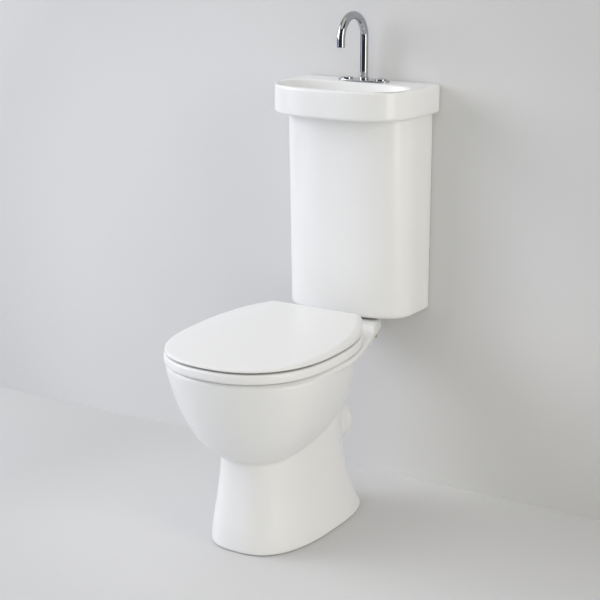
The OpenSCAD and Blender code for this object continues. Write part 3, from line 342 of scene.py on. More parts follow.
bowl = skin("bowl", [bowl_ring(t) for t in np.linspace(0.994, 0.0, 44)])
print("bowl:", len(bowl.data.vertices), "points")

# %% [markdown]
# Under the bowl's back runs a keel that holds the trap, and below both stands the
# foot. Each is a short table of levels. The curve between the levels must not
# overshoot, or the clay would bulge where the real one is straight.

# %% Keel and foot
# height, half-width and back of the keel
keel_rows = [
    (208, 50, 212), (230, 58, 206), (260, 69, 191), (295, 79, 168), (325, 87, 150),
    (341, 94, 130), (355, 103, 107), (370, 109, 82), (388, 113, 60),
]
keel_levels = smooth_rows(keel_rows, 40)
keel = skin("keel", [egg(half, 420, 300, rear, 2.6, z, 96) for z, half, rear in keel_levels])

# height, half-width, front and back of the foot
foot_rows = [
    (0, 116.5, 556, 142), (18, 113, 556.5, 157), (42, 108, 556, 169), (70, 102.8, 552.5, 181),
    (100, 98, 548, 191.5), (135, 93.2, 543.5, 198.5), (170, 89.5, 540.5, 201), (210, 87.5, 539, 202.5),
    (240, 85.8, 538, 205), (270, 83.7, 536.5, 208),
]


def foot_ring(z, half, front, back, inset=0):
    """The foot at one height, drawn in for its hollow."""
    front, back = front - inset, back + inset
    return egg(half - inset, front, (front + back) / 2, back, 2.7, z, 128)


foot = skin("foot", [foot_ring(*row) for row in smooth_rows(foot_rows, 60)])
print("keel and foot:", [len(o.data.vertices) for o in (keel, foot)], "points")

# %% [markdown]
# The rim is a flat plate with a soft edge. Behind the bowl it narrows towards the
# wall and becomes the shelf that the cistern stands on, which lies 10 mm higher and is
# joined to the rim by a short ramp.

# %% The rim's plate
# half-width of the plate's rear part, and the distance from the wall where it has it
rear_side = [
    (171, 400), (169, 365), (161, 325), (141, 256), (117, 184), (98, 128),
    (87, 100), (68, 76), (40, 54), (0, 42),
]


def rim_outline(inset, z):
    """The plate's outline, drawn in all round."""
    front = []
    for i in range(25):
        t = math.radians(90 * i / 24)
        front.append((RIM_HALF * math.sin(t) ** (2 / 2.2), 458 + 196 * math.cos(t) ** (2 / 2.2)))
    rear = smooth_rows([(-d, x) for x, d in [(RIM_HALF, 458)] + rear_side], 40)[1:]
    right = front + [(float(x), float(-d)) for d, x in rear]
    k = 1 - inset / RIM_HALF
    right = [(x * k, 300 + (d - 300) * k) for x, d in right]
    left = [(-x, d) for x, d in reversed(right) if x > 1e-6]
    return [place(x, d, z) for x, d in right + left]


# how far the edge is drawn in, and how far below the top
rim_edge = [(6, 16), (2.5, 14.5), (0.6, 12), (0, 9), (0, 5), (0.7, 2.5), (2.2, 0.8), (5, 0)]
plate = skin("plate", [rim_outline(inset, RIM_TOP - drop) for inset, drop in rim_edge])
print("rim plate of", len(plate.data.vertices), "points")

# %% The shelf, the inlet's housing and the spigot
shelf_side = [(x * 0.98, d + 0.02 * (150 - d)) for x, d in rear_side if d < 150]
shelf_right = [(116, 188)] + shelf_side
shelf_plan = shelf_right + [(-x, d) for x, d in reversed(shelf_right) if x > 0]
shelf = skin("shelf", [[place(x, d, z) for x, d in shelf_plan] for z in (388, 408)])
ramp_side = [(200, 390), (188, 397), (175, 408.2), (200, 409)]
ramp = skin("ramp", [[place(x, d, z) for d, z in ramp_side] for x in (-150, 150)])
shelf = cut(shelf, ramp)
housing = drum("housing", (0, FLUSH_D, 346), (0, FLUSH_D, 386), 46)
spigot = drum("spigot", (0, 161, SPIGOT_Z), (0, 233, SPIGOT_Z), 50, 96)
spigot_collar = drum("spigot_collar", (0, 194, SPIGOT_Z), (0, 230, SPIGOT_Z), 52, 96)
print("shelf plan of", len(shelf_plan), "points")

# %% [markdown]
# The hollows are made the same way and cut out of the melted skin. The trap is a
# round passage that dips, climbs over the weir and drops to the spigot, so its
# cutter is a circle swept along that path.

# %% The hollow of the bowl
# height, half-width, front and back of the hollow
inside_rows = [
    (190, 34, 430, 366), (200, 50, 456, 364), (220, 74, 498, 360), (250, 100, 545, 352),
    (285, 120, 583, 338), (320, 132, 602, 312), (352, 135, 610, 286), (362, 134, 610, 275),
]
hollow_rings = [
    egg(a, f, 0.52 * f + 0.48 * b, b, 2.1, z, 128) for z, a, f, b in smooth_rows(inside_rows, 40)
]
hollow_rings += [egg(122, 603, 450, 280, 2.1, 366, 128), egg(122, 604, 450, 279, 2.1, 392, 128)]
hollow_rings += [egg(125, 607, 450, 276, 2.1, 400, 128)]
hollow = skin("hollow", hollow_rings)
print("hollow of", len(hollow_rings), "rings")

# %% The trap and the foot's hollow
TRAP_R, FOOT_WALL = 27, 13
trap_route = arc(360, 228, 45, -45, -180, 16) + arc(280, 244, 35, 0, 180, 20)
trap_route += arc(210, 214, 35, 0, -90, 10) + [(181, SPIGOT_Z)]
trap = skin("trap", sweep(trap_route, TRAP_R, 40))
open_rows = [(-2, 116.5, 556, 142)] + [row for row in foot_rows if 0 < row[0] < 110]
foot_hollow_rings = [foot_ring(*row, inset=FOOT_WALL) for row in open_rows]
foot_hollow_rings.append(foot_ring(136, 93.5, 544, 199, FOOT_WALL + 8))
foot_hollow = skin("foot_hollow", foot_hollow_rings)
print("trap passage of", len(trap_route), "rings")

# %% [markdown]
# Melting happens twice: once to blend the outer parts, and once more, finer, after the
# hollows are cut, so that their edges get the small round that glaze gives them.

# %% Melt, cut and smooth the pan
def melt_and_sponge(obj, voxel, passes):
    """Voxel remesh and a few passes of smoothing, applied."""
    melt = obj.modifiers.new("melt", "REMESH")
    melt.mode, melt.voxel_size = "VOXEL", voxel
    sponge = obj.modifiers.new("sponge", "SMOOTH")
    sponge.factor, sponge.iterations = 0.5, passes
    return settle(obj)


pan = join("pan_china", bowl, keel, foot, plate, shelf, housing, spigot, spigot_collar)
melt_and_sponge(pan, 0.0026, 8)
holes = [
    hollow,
    trap,
    foot_hollow,
    drum("spigot_bore", (0, 158, SPIGOT_Z), (0, 202, SPIGOT_Z), 41, 96),
    drum("inlet", (0, FLUSH_D, 392), (0, FLUSH_D, 412), 40, 96),
    drum("inlet_well", (0, FLUSH_D, 360), (0, FLUSH_D, 400), 26),
    drum("flush_way", (0, FLUSH_D, 374), (0, 290, 374), 15, 48),
]
for side in (-1, 1):
    anchor_x, bolt_x = ANCHOR_X * side, BOLT_X * side
    holes.append(drum("anchor_hole", (anchor_x, HINGE_D, 360), (anchor_x, HINGE_D, 402), 7, 32))
    holes.append(drum("bolt_hole", (bolt_x, BOLT_D, 350), (bolt_x, BOLT_D, 414), 6, 32))
    holes.append(drum("nut_room", (bolt_x, BOLT_D, 290), (bolt_x, BOLT_D, 376), 15, 48))
cut(pan, *holes)
melt_and_sponge(pan, 0.0022, 5)
pan.data.shade_smooth()
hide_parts("pan")
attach(pan, "suite")
print("pan skin:", len(pan.data.polygons), "faces")

# %% [markdown]
# ## Cistern and basin
#
# Both have the same plan: straight sides, a softly squared front and a flat back
# against the wall. The cistern narrows a little towards its rounded foot. The basin
# is one stack of outlines that starts under its ledge, climbs the outside, turns
# over the lip and runs down into the bowl, so no seam crosses a visible surface.

# %% The D outline
def dee(half, front, back, side, n, z, count=60, corner=3.0):
    """D outline with a flat back, anticlockwise from above, its back corners eased."""
    left, right = [], []
    for a in (0, 30, 60, 90):
        t = math.radians(a)
        right.append((half - corner + corner * math.cos(t), back + corner - corner * math.sin(t)))
        left.append((-half + corner - corner * math.sin(t), back + corner - corner * math.cos(t)))
    front_arc = []
    for i in range(count + 1):
        t = math.pi * i / count
        c, s = power(math.cos(t), 2 / n), abs(math.sin(t)) ** (2 / n)
        front_arc.append((-half * c, side + (front - side) * s))
    sides = 4
    down = [(-half, back + corner + (side - back - corner) * i / sides) for i in range(1, sides)]
    up = [(half, side - (side - back - corner) * i / sides) for i in range(1, sides)]
    rear = [(x, back) for x in np.linspace(half - corner, corner - half, 14)[1:-1]]
    return [place(x, d, z) for x, d in right + rear + left + down + front_arc + up]


print("a D of", len(dee(150, 170, 0, 65, 2.7, 500)), "points")

# %% [markdown]
# The tank's stack starts on the floor inside, climbs the inner wall, steps over the
# edge and comes down outside. Its wall is therefore real, and the holes for the flush,
# the inlet, the bolts and the wall screws go right through it.

# %% The cistern tank
TANK_LOW, TANK_TOP, TANK_ROLL = 413.0, 860.0, 10


def tank_ring(z, inset=0.0, back=0.0):
    """The tank's outline, a little wider and deeper towards its top."""
    u = (z - TANK_LOW) / (TANK_TOP - TANK_LOW)
    return dee(151 + 0.8 * u - inset, 150 + 20 * u - inset, back, 65, 2.7, z)


# height, and how far the outline is drawn in at the sides and at the back
inner = [(425.0, 60, 60), (425.2, 20, 20), (427, 13.5, 13.5), (432, 11, 11)]
inner += [(600, 11, 11), (859, 11, 11), (860, 12, 12)]
outer = [(860, 1, 0.3), (859, 0, 0)] + [(z, 0, 0) for z in np.linspace(850, 430, 22)]
outer += [(TANK_LOW + TANK_ROLL - TANK_ROLL * s, TANK_ROLL - TANK_ROLL * c, 0) for s, c in quarter(10)]
outer += [(TANK_LOW, 60, 40)]
tank = skin("cistern_china", [tank_ring(z, inset, back) for z, inset, back in inner + outer])
tank_holes = [drum("outlet", (0, FLUSH_D, 405), (0, FLUSH_D, 430), 31.5)]
tank_holes.append(drum("inlet_hole", (-105, 75, 405), (-105, 75, 430), 12))
for side in (-1, 1):
    bolt_x, screw_x = BOLT_X * side, 90 * side
    tank_holes.append(drum("bolt", (bolt_x, BOLT_D, 405), (bolt_x, BOLT_D, 430), 5.5, 32))
    tank_holes.append(drum("screw", (screw_x, -3, 810), (screw_x, 14, 810), 3.5, 32))
soften(cut(tank, *tank_holes))
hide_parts("cistern_tank")
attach(tank, "suite")
print("tank:", len(tank.data.polygons), "faces")

# %% [markdown]
# The basin's bowl is an egg and its rim is a D. Where they meet, every point of the
# egg is put on the same bearing as its partner on the D, so the quads between them run
# straight and no twist shows in the glaze.

# %% Outlines of the basin
BASIN_LOW, BASIN_TOP, LEDGE_R, LIP_R = 854.0, 916.0, 7, 5
BOWL_D = 130


def basin_ring(z, inset=0.0, back=0.0):
    """The basin's outside at one height."""
    return dee(167.7 - inset, 218 - inset, back, 60, 3.0, z)


def bowl_outline(f, w, grow=0.0, shift=0.0):
    """Ring of the hand basin's bowl at a share f of its depth and w of its width."""
    reach = w * 0.94 + 0.06
    front, back = BOWL_D + 72 * reach + grow, BOWL_D - 64 * reach - grow
    return 151.7 * w + grow, front, back, 2 + 0.9 * w, 874 + 42 * f + shift


def match(outline, like):
    """Points of an egg on the same bearings as the D's, so that the quads run straight."""
    half, front, back, n, z = outline
    ring = []
    for x, y, _ in like:
        px, pd = x * 1000, (WALL - y) * 1000 - BOWL_D
        reach = (front - BOWL_D) if pd > 0 else (BOWL_D - back)
        k = (abs(px / half) ** n + abs(pd / reach) ** n) ** (1 / n)
        ring.append(place(px / k, BOWL_D + pd / k, z))
    return ring


like = basin_ring(BASIN_TOP)
print("the basin's rim has", len(like), "points")

# %% The basin
stack = [match((60, 180, 80, 2.2, 860), like), basin_ring(860, 12.2, 0.4), basin_ring(859.5, 12, 0.2)]
stack += [basin_ring(BASIN_LOW + 0.4, 12, 0.2), basin_ring(BASIN_LOW, 11.6, 0)]
for s, c in quarter(9):
    stack.append(basin_ring(BASIN_LOW + LEDGE_R - LEDGE_R * c, LEDGE_R - LEDGE_R * s))
stack += [basin_ring(z, 0.0) for z in np.linspace(866, 908, 6)]
for a, (s, c) in zip(range(10, 91, 10), quarter(10, 10)):
    stack.append(basin_ring(BASIN_TOP - LIP_R + LIP_R * s, LIP_R - LIP_R * c, min(a, 60) / 60))
for s, c in quarter(10):
    out, drop = LIP_R - LIP_R * s, LIP_R - LIP_R * c
    stack.append(match(bowl_outline(1, 1, out, -drop), like))
# depth and width of the bowl, as shares; the curve's key has to rise, so it is the
# width with a minus sign
bowl_rows = [(0.93, 1.0), (0.65, 0.965), (0.36, 0.9), (0.13, 0.77), (0.03, 0.58), (0.0, 0.4)]
for w_key, f in smooth_rows([(-w, f) for f, w in bowl_rows], 26):
    stack.append(match(bowl_outline(float(f), float(-w_key)), like))
basin = skin("basin_china", stack)
print("basin stack of", len(stack), "rings")

# %% [markdown]
# From below, a well is cut up into the basin, so that its wall stays about as thick
# everywhere. The well is a D less the bowl, thickened by the wall.

# %% The basin's underside
BASIN_WALL = 9
well = skin("well", [dee(137.8, 156, 13, 65, 2.7, z) for z in (859, 902)])
under_rows = smooth_rows([(-1.02, 1.1)] + [(-w, f) for f, w in bowl_rows], 14)
under = [bowl_outline(float(f), float(-w_key), BASIN_WALL, -BASIN_WALL) for w_key, f in under_rows]
body = skin("bowl_body", [match(outline, like) for outline in under])
well = cut(well, body)
basin_holes = [well, drum("waste_hole", (0, BOWL_D, 850), (0, BOWL_D, 880), 22)]
basin_holes.append(drum("tap_hole", (0, SPOUT_D, 895), (0, SPOUT_D, 920), 8))
for side in (-1, 1):
    x = BUTTON_X * side
    basin_holes.append(drum("guide_hole", (x, SPOUT_D, 890), (x, SPOUT_D, 920), 15.7))
soften(cut(basin, *basin_holes), 32)
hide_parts("basin")
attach(basin, "suite")
print("basin:", len(basin.data.polygons), "faces")

# %% [markdown]
# ## Seat and lid
#
# They share one outline: a broad front, sides that draw in, and a straight back with
# round corners. The seat is a closed loop of sections between that outline and its
# opening. The lid is a hollow wedge, low at the tip and high at the back.

# %% Their outline
SEAT_D = 458  # the seat is widest here
SQUARE = 2 / 2.32  # the power that squares its front a little


def seat_outline(inset, back, scale=1.0):
    """Points (x, d) of the outline, drawn in by the inset and scaled about its middle."""
    half, tip, rear = 176 - inset, 661 - inset, 124 - inset
    corner = max(25 - inset, 1)
    end = back + corner
    turn_at = SEAT_D + 0.69 * (end - SEAT_D)
    right = []
    for i in range(26):
        t = math.radians(90 * i / 26)
        across, along = math.sin(t) ** SQUARE, math.cos(t) ** SQUARE
        right.append((half * across, SEAT_D + (tip - SEAT_D) * along))
    for i in range(17):
        s = i / 16
        d = (1 - s) ** 2 * SEAT_D + 2 * s * (1 - s) * turn_at + s * s * end
        right.append(((1 - s * s) * half + s * s * rear, d))
    for i in range(1, 11):
        u = math.radians(9 * i)
        right.append((rear - corner + corner * math.cos(u), end - corner * math.sin(u)))
    right += [(x, back) for x in np.linspace(rear - corner, 0, 8)[1:-1]]
    left = [(-x, d) for x, d in reversed(right) if x > 1e-6]
    full = right + [(0.0, back)] + left
    return [(x * scale, SEAT_D + (d - SEAT_D) * scale) for x, d in full]


print("outline of", len(seat_outline(0, 229)), "points")

# %% The seat
SEAT_LOW, SEAT_THICK, OPENING_D, PIN_BORE = 401, 20, 455, 4.05
outside = seat_outline(0, 229)
inside = []
for x, d in outside:
    v = d - OPENING_D
    reach = 145 if v > 0 else 137
    k = ((abs(x) / 110) ** 2.2 + (abs(v) / reach) ** 2.2) ** (1 / 2.2)
    inside.append((x / k, OPENING_D + v / k))
# the section from outside to inside and back, as shares of its width and its height
section = [
    (0.9, 0), (0.5, 0), (0.08, 0), (0.045, 0.012), (0.02, 0.06), (0.006, 0.14), (0, 0.24),
    (0, 0.45), (0, 0.64), (0.004, 0.77), (0.014, 0.87), (0.032, 0.94), (0.06, 0.98),
    (0.1, 0.998), (0.2, 1), (0.38, 1), (0.5, 0.995), (0.62, 0.975), (0.74, 0.93),
    (0.83, 0.855), (0.9, 0.76), (0.95, 0.66), (0.985, 0.54), (1, 0.4), (1, 0.26),
    (0.985, 0.12), (0.96, 0.04), (0.93, 0.005),
]
seat_rings = []
for share, level in section:
    ring = []
    for (x0, d0), (x1, d1) in zip(outside, inside):
        ring.append(place(x0 + share * (x1 - x0), d0 + share * (d1 - d0), SEAT_LOW + SEAT_THICK * level))
    seat_rings.append(ring)
seat = skin("seat_ring", seat_rings, closed=True)
notches = []
for side in (-1, 1):
    x0, x1 = sorted((70 * side, 94 * side))
    notches.append(block("notch", (x0, 252, 396), (x1, 212, 430)))
    x0, x1 = sorted((56 * side, 107 * side))
    notches.append(drum("pin_bore", (x0, HINGE_D, HINGE_Z), (x1, HINGE_D, HINGE_Z), PIN_BORE, 32))
soften(cut(seat, *notches), 40)
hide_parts("seat")
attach(seat, "seat")
print("seat:", len(seat.data.polygons), "faces")

# %% [markdown]
# Under the lid lies a shallow hollow with pockets for its pads, and from its rear edge
# two arms reach down to the hinge pins. Its top is a flat crown with a rounded edge, so
# the light slides over it without a break.

# %% The lid
LID_LOW, LID_BACK, ROLL, CROWN = 425.0, 232.0, 16.0, 8.0


def lid_edge(d):
    """The lid is a wedge: its edge is 6.5 mm high at the tip and 28 mm at the back."""
    return 6.5 + 21.5 * min(max((661 - d) / (661 - LID_BACK), 0), 1) ** 1.6


def lid_ring(inset, share, k=1.0, rise=0.0):
    """The outline drawn in and scaled, at a share of the edge's height plus a rise."""
    outline = seat_outline(2 + inset, LID_BACK + inset, k)
    return [place(x, d, LID_LOW + share * lid_edge(d) + rise) for x, d in outline]


# the lid's pads lie on the middle line of the seat's ring
PADS = []
for a in (84, 42):
    u = math.radians(a)
    PADS.append((143 * math.sin(u) ** SQUARE, SEAT_D + 172.5 * math.cos(u) ** SQUARE))
LID_WALL, HOLLOW_SHARE = 7, 0.625
lid_rings = [lid_ring(LID_WALL, HOLLOW_SHARE, k) for k in (0.04, 0.3, 0.6, 0.85, 0.94)]
lid_rings += [lid_ring(LID_WALL, share, k) for share, k in ((0.57, 0.972), (0.4, 0.99), (0.04, 1.0))]
lid_edge_steps = [(6.5, 0), (1.6, 0), (0.8, 0.02), (0.25, 0.07), (0, 0.16), (0, 0.33), (0, 0.5)]
lid_rings += [lid_ring(inset, share) for inset, share in lid_edge_steps]
for s, c in quarter(8, 8):
    lid_rings.append(lid_ring(ROLL * (1 - c), 0.5 + 0.5 * s))
for k in (0.99, 0.96, 0.92, 0.86, 0.78, 0.68, 0.56, 0.42, 0.28, 0.15, 0.04):
    lid_rings.append(lid_ring(ROLL, 1, k, CROWN * (1 - k**2.2)))
lid = skin("lid_shell", lid_rings)
arms = []
for side in (-1, 1):
    x0, x1 = sorted((85 * side, 92.5 * side))
    arms.append(drum("arm_hub", (x0, HINGE_D, HINGE_Z), (x1, HINGE_D, HINGE_Z), 8, 48))
    arms.append(block("arm", (x0, 245, HINGE_Z), (x1, 234.5, 443.4)))
lid = cut(lid, *arms, how="UNION")
lid_holes = []
for x0, x1 in ((-94, -84), (84, 94)):
    lid_holes.append(drum("pin_bore", (x0, HINGE_D, HINGE_Z), (x1, HINGE_D, HINGE_Z), PIN_BORE, 32))
for x, d in PADS:
    top = LID_LOW + HOLLOW_SHARE * lid_edge(d) + 1.5
    for pad_x in (-x, x):
        lid_holes.append(drum("pad_pocket", (pad_x, d, 424), (pad_x, d, top), 6.2, 32))
soften(cut(lid, *lid_holes), 40)
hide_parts("lid")
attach(lid, "lid")
print("lid:", len(lid.data.polygons), "faces")

# %% [markdown]
# ## Spout and plate
#
# The spout is one bent tube. It is swept here with a fine circle, because a chrome
# surface shows every flat. Its mouth has a thin rounded wall with the dark hollow
# behind it, and a small collar hides where it enters the plate.

# %% The spout
BEND, SPRING, MOUTH = 50.0, 1011.0, 996.5
end_d = SPOUT_D + 2 * BEND
path = [(SPOUT_D, z) for z in (920.2, 921, 930, 960, 990)]
path += arc(SPOUT_D + BEND, SPRING, BEND, 180, 0, 60)
path += [(end_d, MOUTH + z) for z in (8, 1.2, 0.5, 0.12, 0)]
radii = [8.85] * (len(path) - 3) + [8.75, 8.45, 7.9]
spout = skin("spout_tube", sweep(path, radii, 64))
bore = skin("spout_bore", sweep([(end_d, MOUTH + z) for z in (-2, 12)], 6.5, 64))
spout = cut(spout, bore)
collar = lathe(
    "collar",
    (0, SPOUT_D),
    [(8.9, 920), (10.4, 920), (10.45, 920.3), (10.45, 923.6), (10.2, 924.4), (9.6, 924.9), (8.9, 925)],
)
tail = drum("tail", (0, SPOUT_D, 868), (0, SPOUT_D, 920.2), 7, 48)
spout = soften(join("spout_chrome", spout, collar, tail), 38)
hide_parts("tap_spout")
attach(spout, "suite")
print("spout:", len(spout.data.polygons), "faces")

# %% [markdown]
# The plate is a low oval with a rolled edge, and the two buttons stand in round holes
# in it. The half-flush cap has a fine ring in its top, so that a finger can tell it
# from the other one.

# %% The plate
PLATE_LENGTH, PLATE_WIDTH, PLATE_ROLL = 122.0, 50.0, 1.4


def oval(grow, z, count=160):
    """The plate's outline: a long bow at each side and a round end."""
    half, deep = PLATE_LENGTH / 2 + grow, PLATE_WIDTH / 2 + grow
    n = 2.35
    ring = []
    for i in range(count):
        t = 2 * math.pi * i / count
        across, along = power(math.cos(t), 2 / n), power(math.sin(t), 2 / n)
        ring.append(place(half * across, SPOUT_D - deep * along, z))
    return ring


levels = [(-0.6, 916), (0, 916.4), (0, 918.6)]
levels += [(PLATE_ROLL * c - PLATE_ROLL, 918.6 + PLATE_ROLL * s) for s, c in quarter(15, 15)]
base_plate = skin("chrome_plate", [oval(grow, z) for grow, z in levels])
base_holes = [drum("stem_hole", (0, SPOUT_D, 910), (0, SPOUT_D, 925), 7.3, 48)]
for side in (-1, 1):
    x = BUTTON_X * side
    base_holes.append(drum("button_hole", (x, SPOUT_D, 910), (x, SPOUT_D, 925), 13.2, 96))
    base_holes.append(drum("flange_room", (x, SPOUT_D, 910), (x, SPOUT_D, 918.1), 17.2, 96))
soften(cut(base_plate, *base_holes), 40)
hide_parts("tap_plate")
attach(base_plate, "suite")
print("plate:", len(base_plate.data.polygons), "faces")

# %% The buttons' caps
CAP_R, CAP_ROLL, CAP_TOP = 12.9, 0.5, 922.5
cap_side = [(12.4, 905), (CAP_R, 905.5), (CAP_R, CAP_TOP)]
cap_side += [(CAP_R - CAP_ROLL + CAP_ROLL * c, CAP_TOP + CAP_ROLL * s) for s, c in quarter(15, 15)]
plain_top = [(10.5, 922.97), (6, 922.92), (1, 922.9)]
ringed_top = [(8.8, 922.97), (8.6, 922.75), (8.2, 922.65), (7.8, 922.75), (7.6, 922.95), (1, 922.9)]
caps = []
for name, x, top_face in (("full", BUTTON_X, plain_top), ("half", -BUTTON_X, ringed_top)):
    profile = [(1, 919.5), (10.5, 919.5), (10.5, 905)] + cap_side + top_face
    cap = soften(lathe(name + "_cap", (x, SPOUT_D), profile), 40)
    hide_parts(name + "_flush_button")
    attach(cap, name + "_button")
    caps.append(cap)
print("caps:", [cap.name for cap in caps])

# %% [markdown]
# Under each button a wire spring stands on its guide and pushes the cap up. When the
# button goes down, the foot of the spring stays and its head comes along. A stiff piece
# can't do that, so the CAD wire is copied here into a piece of its own, and the copy is
# not attached to either body.

# %% The button springs
coils = []
for name in ("full", "half"):
    wire = frame["nodes"][name + "_button_spring"]
    coil = bpy.data.objects.new(name + "_coil", wire.data.copy())
    bpy.context.scene.collection.objects.link(coil)
    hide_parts(name + "_button_spring")
    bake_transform(coil)
    coils.append(coil)

# %% [markdown]
# ## Finishes
#
# Every finish is a node graph. To keep the graphs readable, a socket is wrapped in a
# small class, so that a formula can be written as one: numbers go through Math nodes,
# colours and vectors through Vector Math. All other nodes come from one method, which
# takes the node's type, its settings and what its sockets get.

# %% A class for node maths
class Flow:
    """The value that leaves a socket. +, - and * add the right kind of math node."""

    def __init__(self, nodes, socket):
        self.nodes, self.socket = nodes, socket

    def _with(self, operation, first, second):
        pair = [v.socket.type if isinstance(v, Flow) else "NUMBER" for v in (first, second)]
        wide = any(kind in ("RGBA", "VECTOR") for kind in pair)
        kind = "ShaderNodeVectorMath" if wide else "ShaderNodeMath"
        if wide:
            first, second = [(v,) * 3 if isinstance(v, (int, float)) else v for v in (first, second)]
        return self.nodes.node(kind, {"operation": operation}, {0: first, 1: second})

    def __add__(self, other):
        return self._with("ADD", self, other)

    def __radd__(self, other):
        return self._with("ADD", other, self)

    def __sub__(self, other):
        return self._with("SUBTRACT", self, other)

    def __rsub__(self, other):
        return self._with("SUBTRACT", other, self)

    def __mul__(self, other):
        return self._with("MULTIPLY", self, other)

    def __rmul__(self, other):
        return self._with("MULTIPLY", other, self)


class Nodes:
    """A node tree and one way to add to it."""

    def __init__(self, tree):
        self.tree = tree

    def node(self, kind, settings=None, sockets=None, out=0):
        """Adds a node: its settings first, then values or flows for its sockets."""
        made = self.tree.nodes.new(kind)
        for key, value in (settings or {}).items():
            if key == "stops":
                ramp = made.color_ramp
                for i, (at, shade) in enumerate(value):
                    stop = ramp.elements[i] if i < 2 else ramp.elements.new(at)
                    stop.position, stop.color = at, (*shade, 1)
            else:
                setattr(made, key, value)
        for key, value in (sockets or {}).items():
            self.feed(made.inputs[key], value)
        return Flow(self, made.outputs[out])

    def feed(self, socket, value):
        """Links a flow to a socket, or types a value into it."""
        if isinstance(value, Flow):
            self.tree.links.new(value.socket, socket)
        else:
            socket.default_value = value

    def mix(self, amount, first, second):
        """Blends two colours by an amount from 0 to 1."""
        a, b = [(*c, 1) if isinstance(c, tuple) else c for c in (first, second)]
        return self.node("ShaderNodeMix", {"data_type": "RGBA"}, {0: amount, 6: a, 7: b}, out=2)


class Finish(Nodes):
    """A material with one Principled shader, and the textures that finishes share."""

    def __init__(self, name, **constants):
        self.material = bpy.data.materials.new(name)
        self.material.use_nodes = True
        super().__init__(self.material.node_tree)
        self.shader = self.tree.nodes["Principled BSDF"]
        self.drive(**constants)

    def drive(self, **flows):
        """Gives flows or values to the shader's own sockets."""
        for socket, value in flows.items():
            self.feed(self.shader.inputs[socket.replace("_", " ")], value)

    def noise(self, scale, detail=2.0, stretch=(1, 1, 1)):
        """Soft noise in the object's own metres, from 0 to 1."""
        where = self.node("ShaderNodeTexCoord", out="Object")
        where = self.node("ShaderNodeMapping", None, {"Vector": where, "Scale": stretch})
        sockets = {"Vector": where, "Scale": scale, "Detail": detail}
        return self.node("ShaderNodeTexNoise", None, sockets)

    def bump(self, height, strength, distance):
        """Turns a height into small dents in the light."""
        sockets = {"Strength": strength, "Distance": distance, "Height": height}
        return self.node("ShaderNodeBump", None, sockets)


print("node tools ready")

# %% [markdown]
# Glazed china is white clay under a layer of clear glass. The glass gives a sharp,
# low reflection, and it is never quite flat: it pulls into a very shallow ripple, a
# few centimetres long. The seat is pressed from white resin, a touch warmer and a
# little less sharp.

# %% Whites
def china(name):
    glaze = Finish(name, Coat_Roughness=0.10, IOR=1.5, Coat_IOR=1.5)
    cloud = glaze.noise(6, 2)
    glaze.drive(
        Base_Color=glaze.mix(cloud, (0.80, 0.805, 0.80), (0.83, 0.832, 0.825)),
        Roughness=glaze.noise(30, 3) * 0.06 + 0.27,
        Coat_Weight=glaze.noise(18, 2) * 0.1 + 0.16,
        Normal=glaze.bump(glaze.noise(22, 1) + glaze.noise(160, 2) * 0.04, 0.10, 0.004),
    )
    return glaze.material


def resin(name):
    moulded = Finish(name, IOR=1.5)
    cloud = moulded.noise(9, 2)
    moulded.drive(
        Base_Color=moulded.mix(cloud, (0.81, 0.81, 0.805), (0.835, 0.833, 0.825)),
        Roughness=moulded.noise(60, 4) * 0.08 + 0.30,
        Normal=moulded.bump(moulded.noise(40, 2) + moulded.noise(900, 2) * 0.02, 0.05, 0.002),
    )
    return moulded.material


white_china, white_resin = china("glazed_china"), resin("seat_resin")
print("made", white_china.name, "and", white_resin.name)

# %% [markdown]
# Polished chrome mirrors the room, so most of its look comes from what stands around
# it. Its own detail is faint: dried water marks and a haze of fine wiping marks, both
# of which only change how sharp the reflection is.

# %% Metals
def chrome(name):
    plated = Finish(name, Metallic=1.0)
    marks = plated.noise(500, 3, (1, 1, 0.2))
    spots = plated.node(
        "ShaderNodeValToRGB", {"stops": [(0.62, (0, 0, 0)), (0.72, (1, 1, 1))]}, {0: plated.noise(140, 3)}
    )
    plated.drive(
        Base_Color=plated.mix(plated.noise(40, 2), (0.43, 0.445, 0.47), (0.48, 0.49, 0.51)),
        Roughness=marks * 0.03 + spots * 0.05 + 0.035,
    )
    return plated.material


def metal(name, dark, light, rough, grain=(1, 1, 8)):
    worked = Finish(name, Metallic=1.0)
    lines = worked.noise(300, 4, grain)
    worked.drive(
        Base_Color=worked.mix(lines, dark, light),
        Roughness=lines * 0.15 + rough,
        Normal=worked.bump(lines, 0.12, 0.0003),
    )
    return worked.material


bright_chrome = chrome("bright_chrome")
satin_steel = metal("satin_steel", (0.45, 0.46, 0.47), (0.58, 0.59, 0.60), 0.28)
turned_brass = metal("turned_brass", (0.55, 0.38, 0.14), (0.70, 0.52, 0.22), 0.25)
print("metals:", bright_chrome.name, satin_steel.name, turned_brass.name)

# %% [markdown]
# The parts inside are moulded from plastic and rubber. Both have a fine grain from the
# mould, and the colour drifts a little along the flow of the melt, which keeps large
# plain parts from looking painted.

# %% Rubbers and working plastics
def moulded_plastic(name, dark, light, rough=0.42):
    part = Finish(name)
    grain = part.noise(700, 3)
    flow = part.noise(25, 3, (1, 1, 0.4))
    part.drive(
        Base_Color=part.mix(flow, dark, light),
        Roughness=grain * 0.12 + rough,
        Normal=part.bump(grain, 0.15, 0.0003),
    )
    return part.material


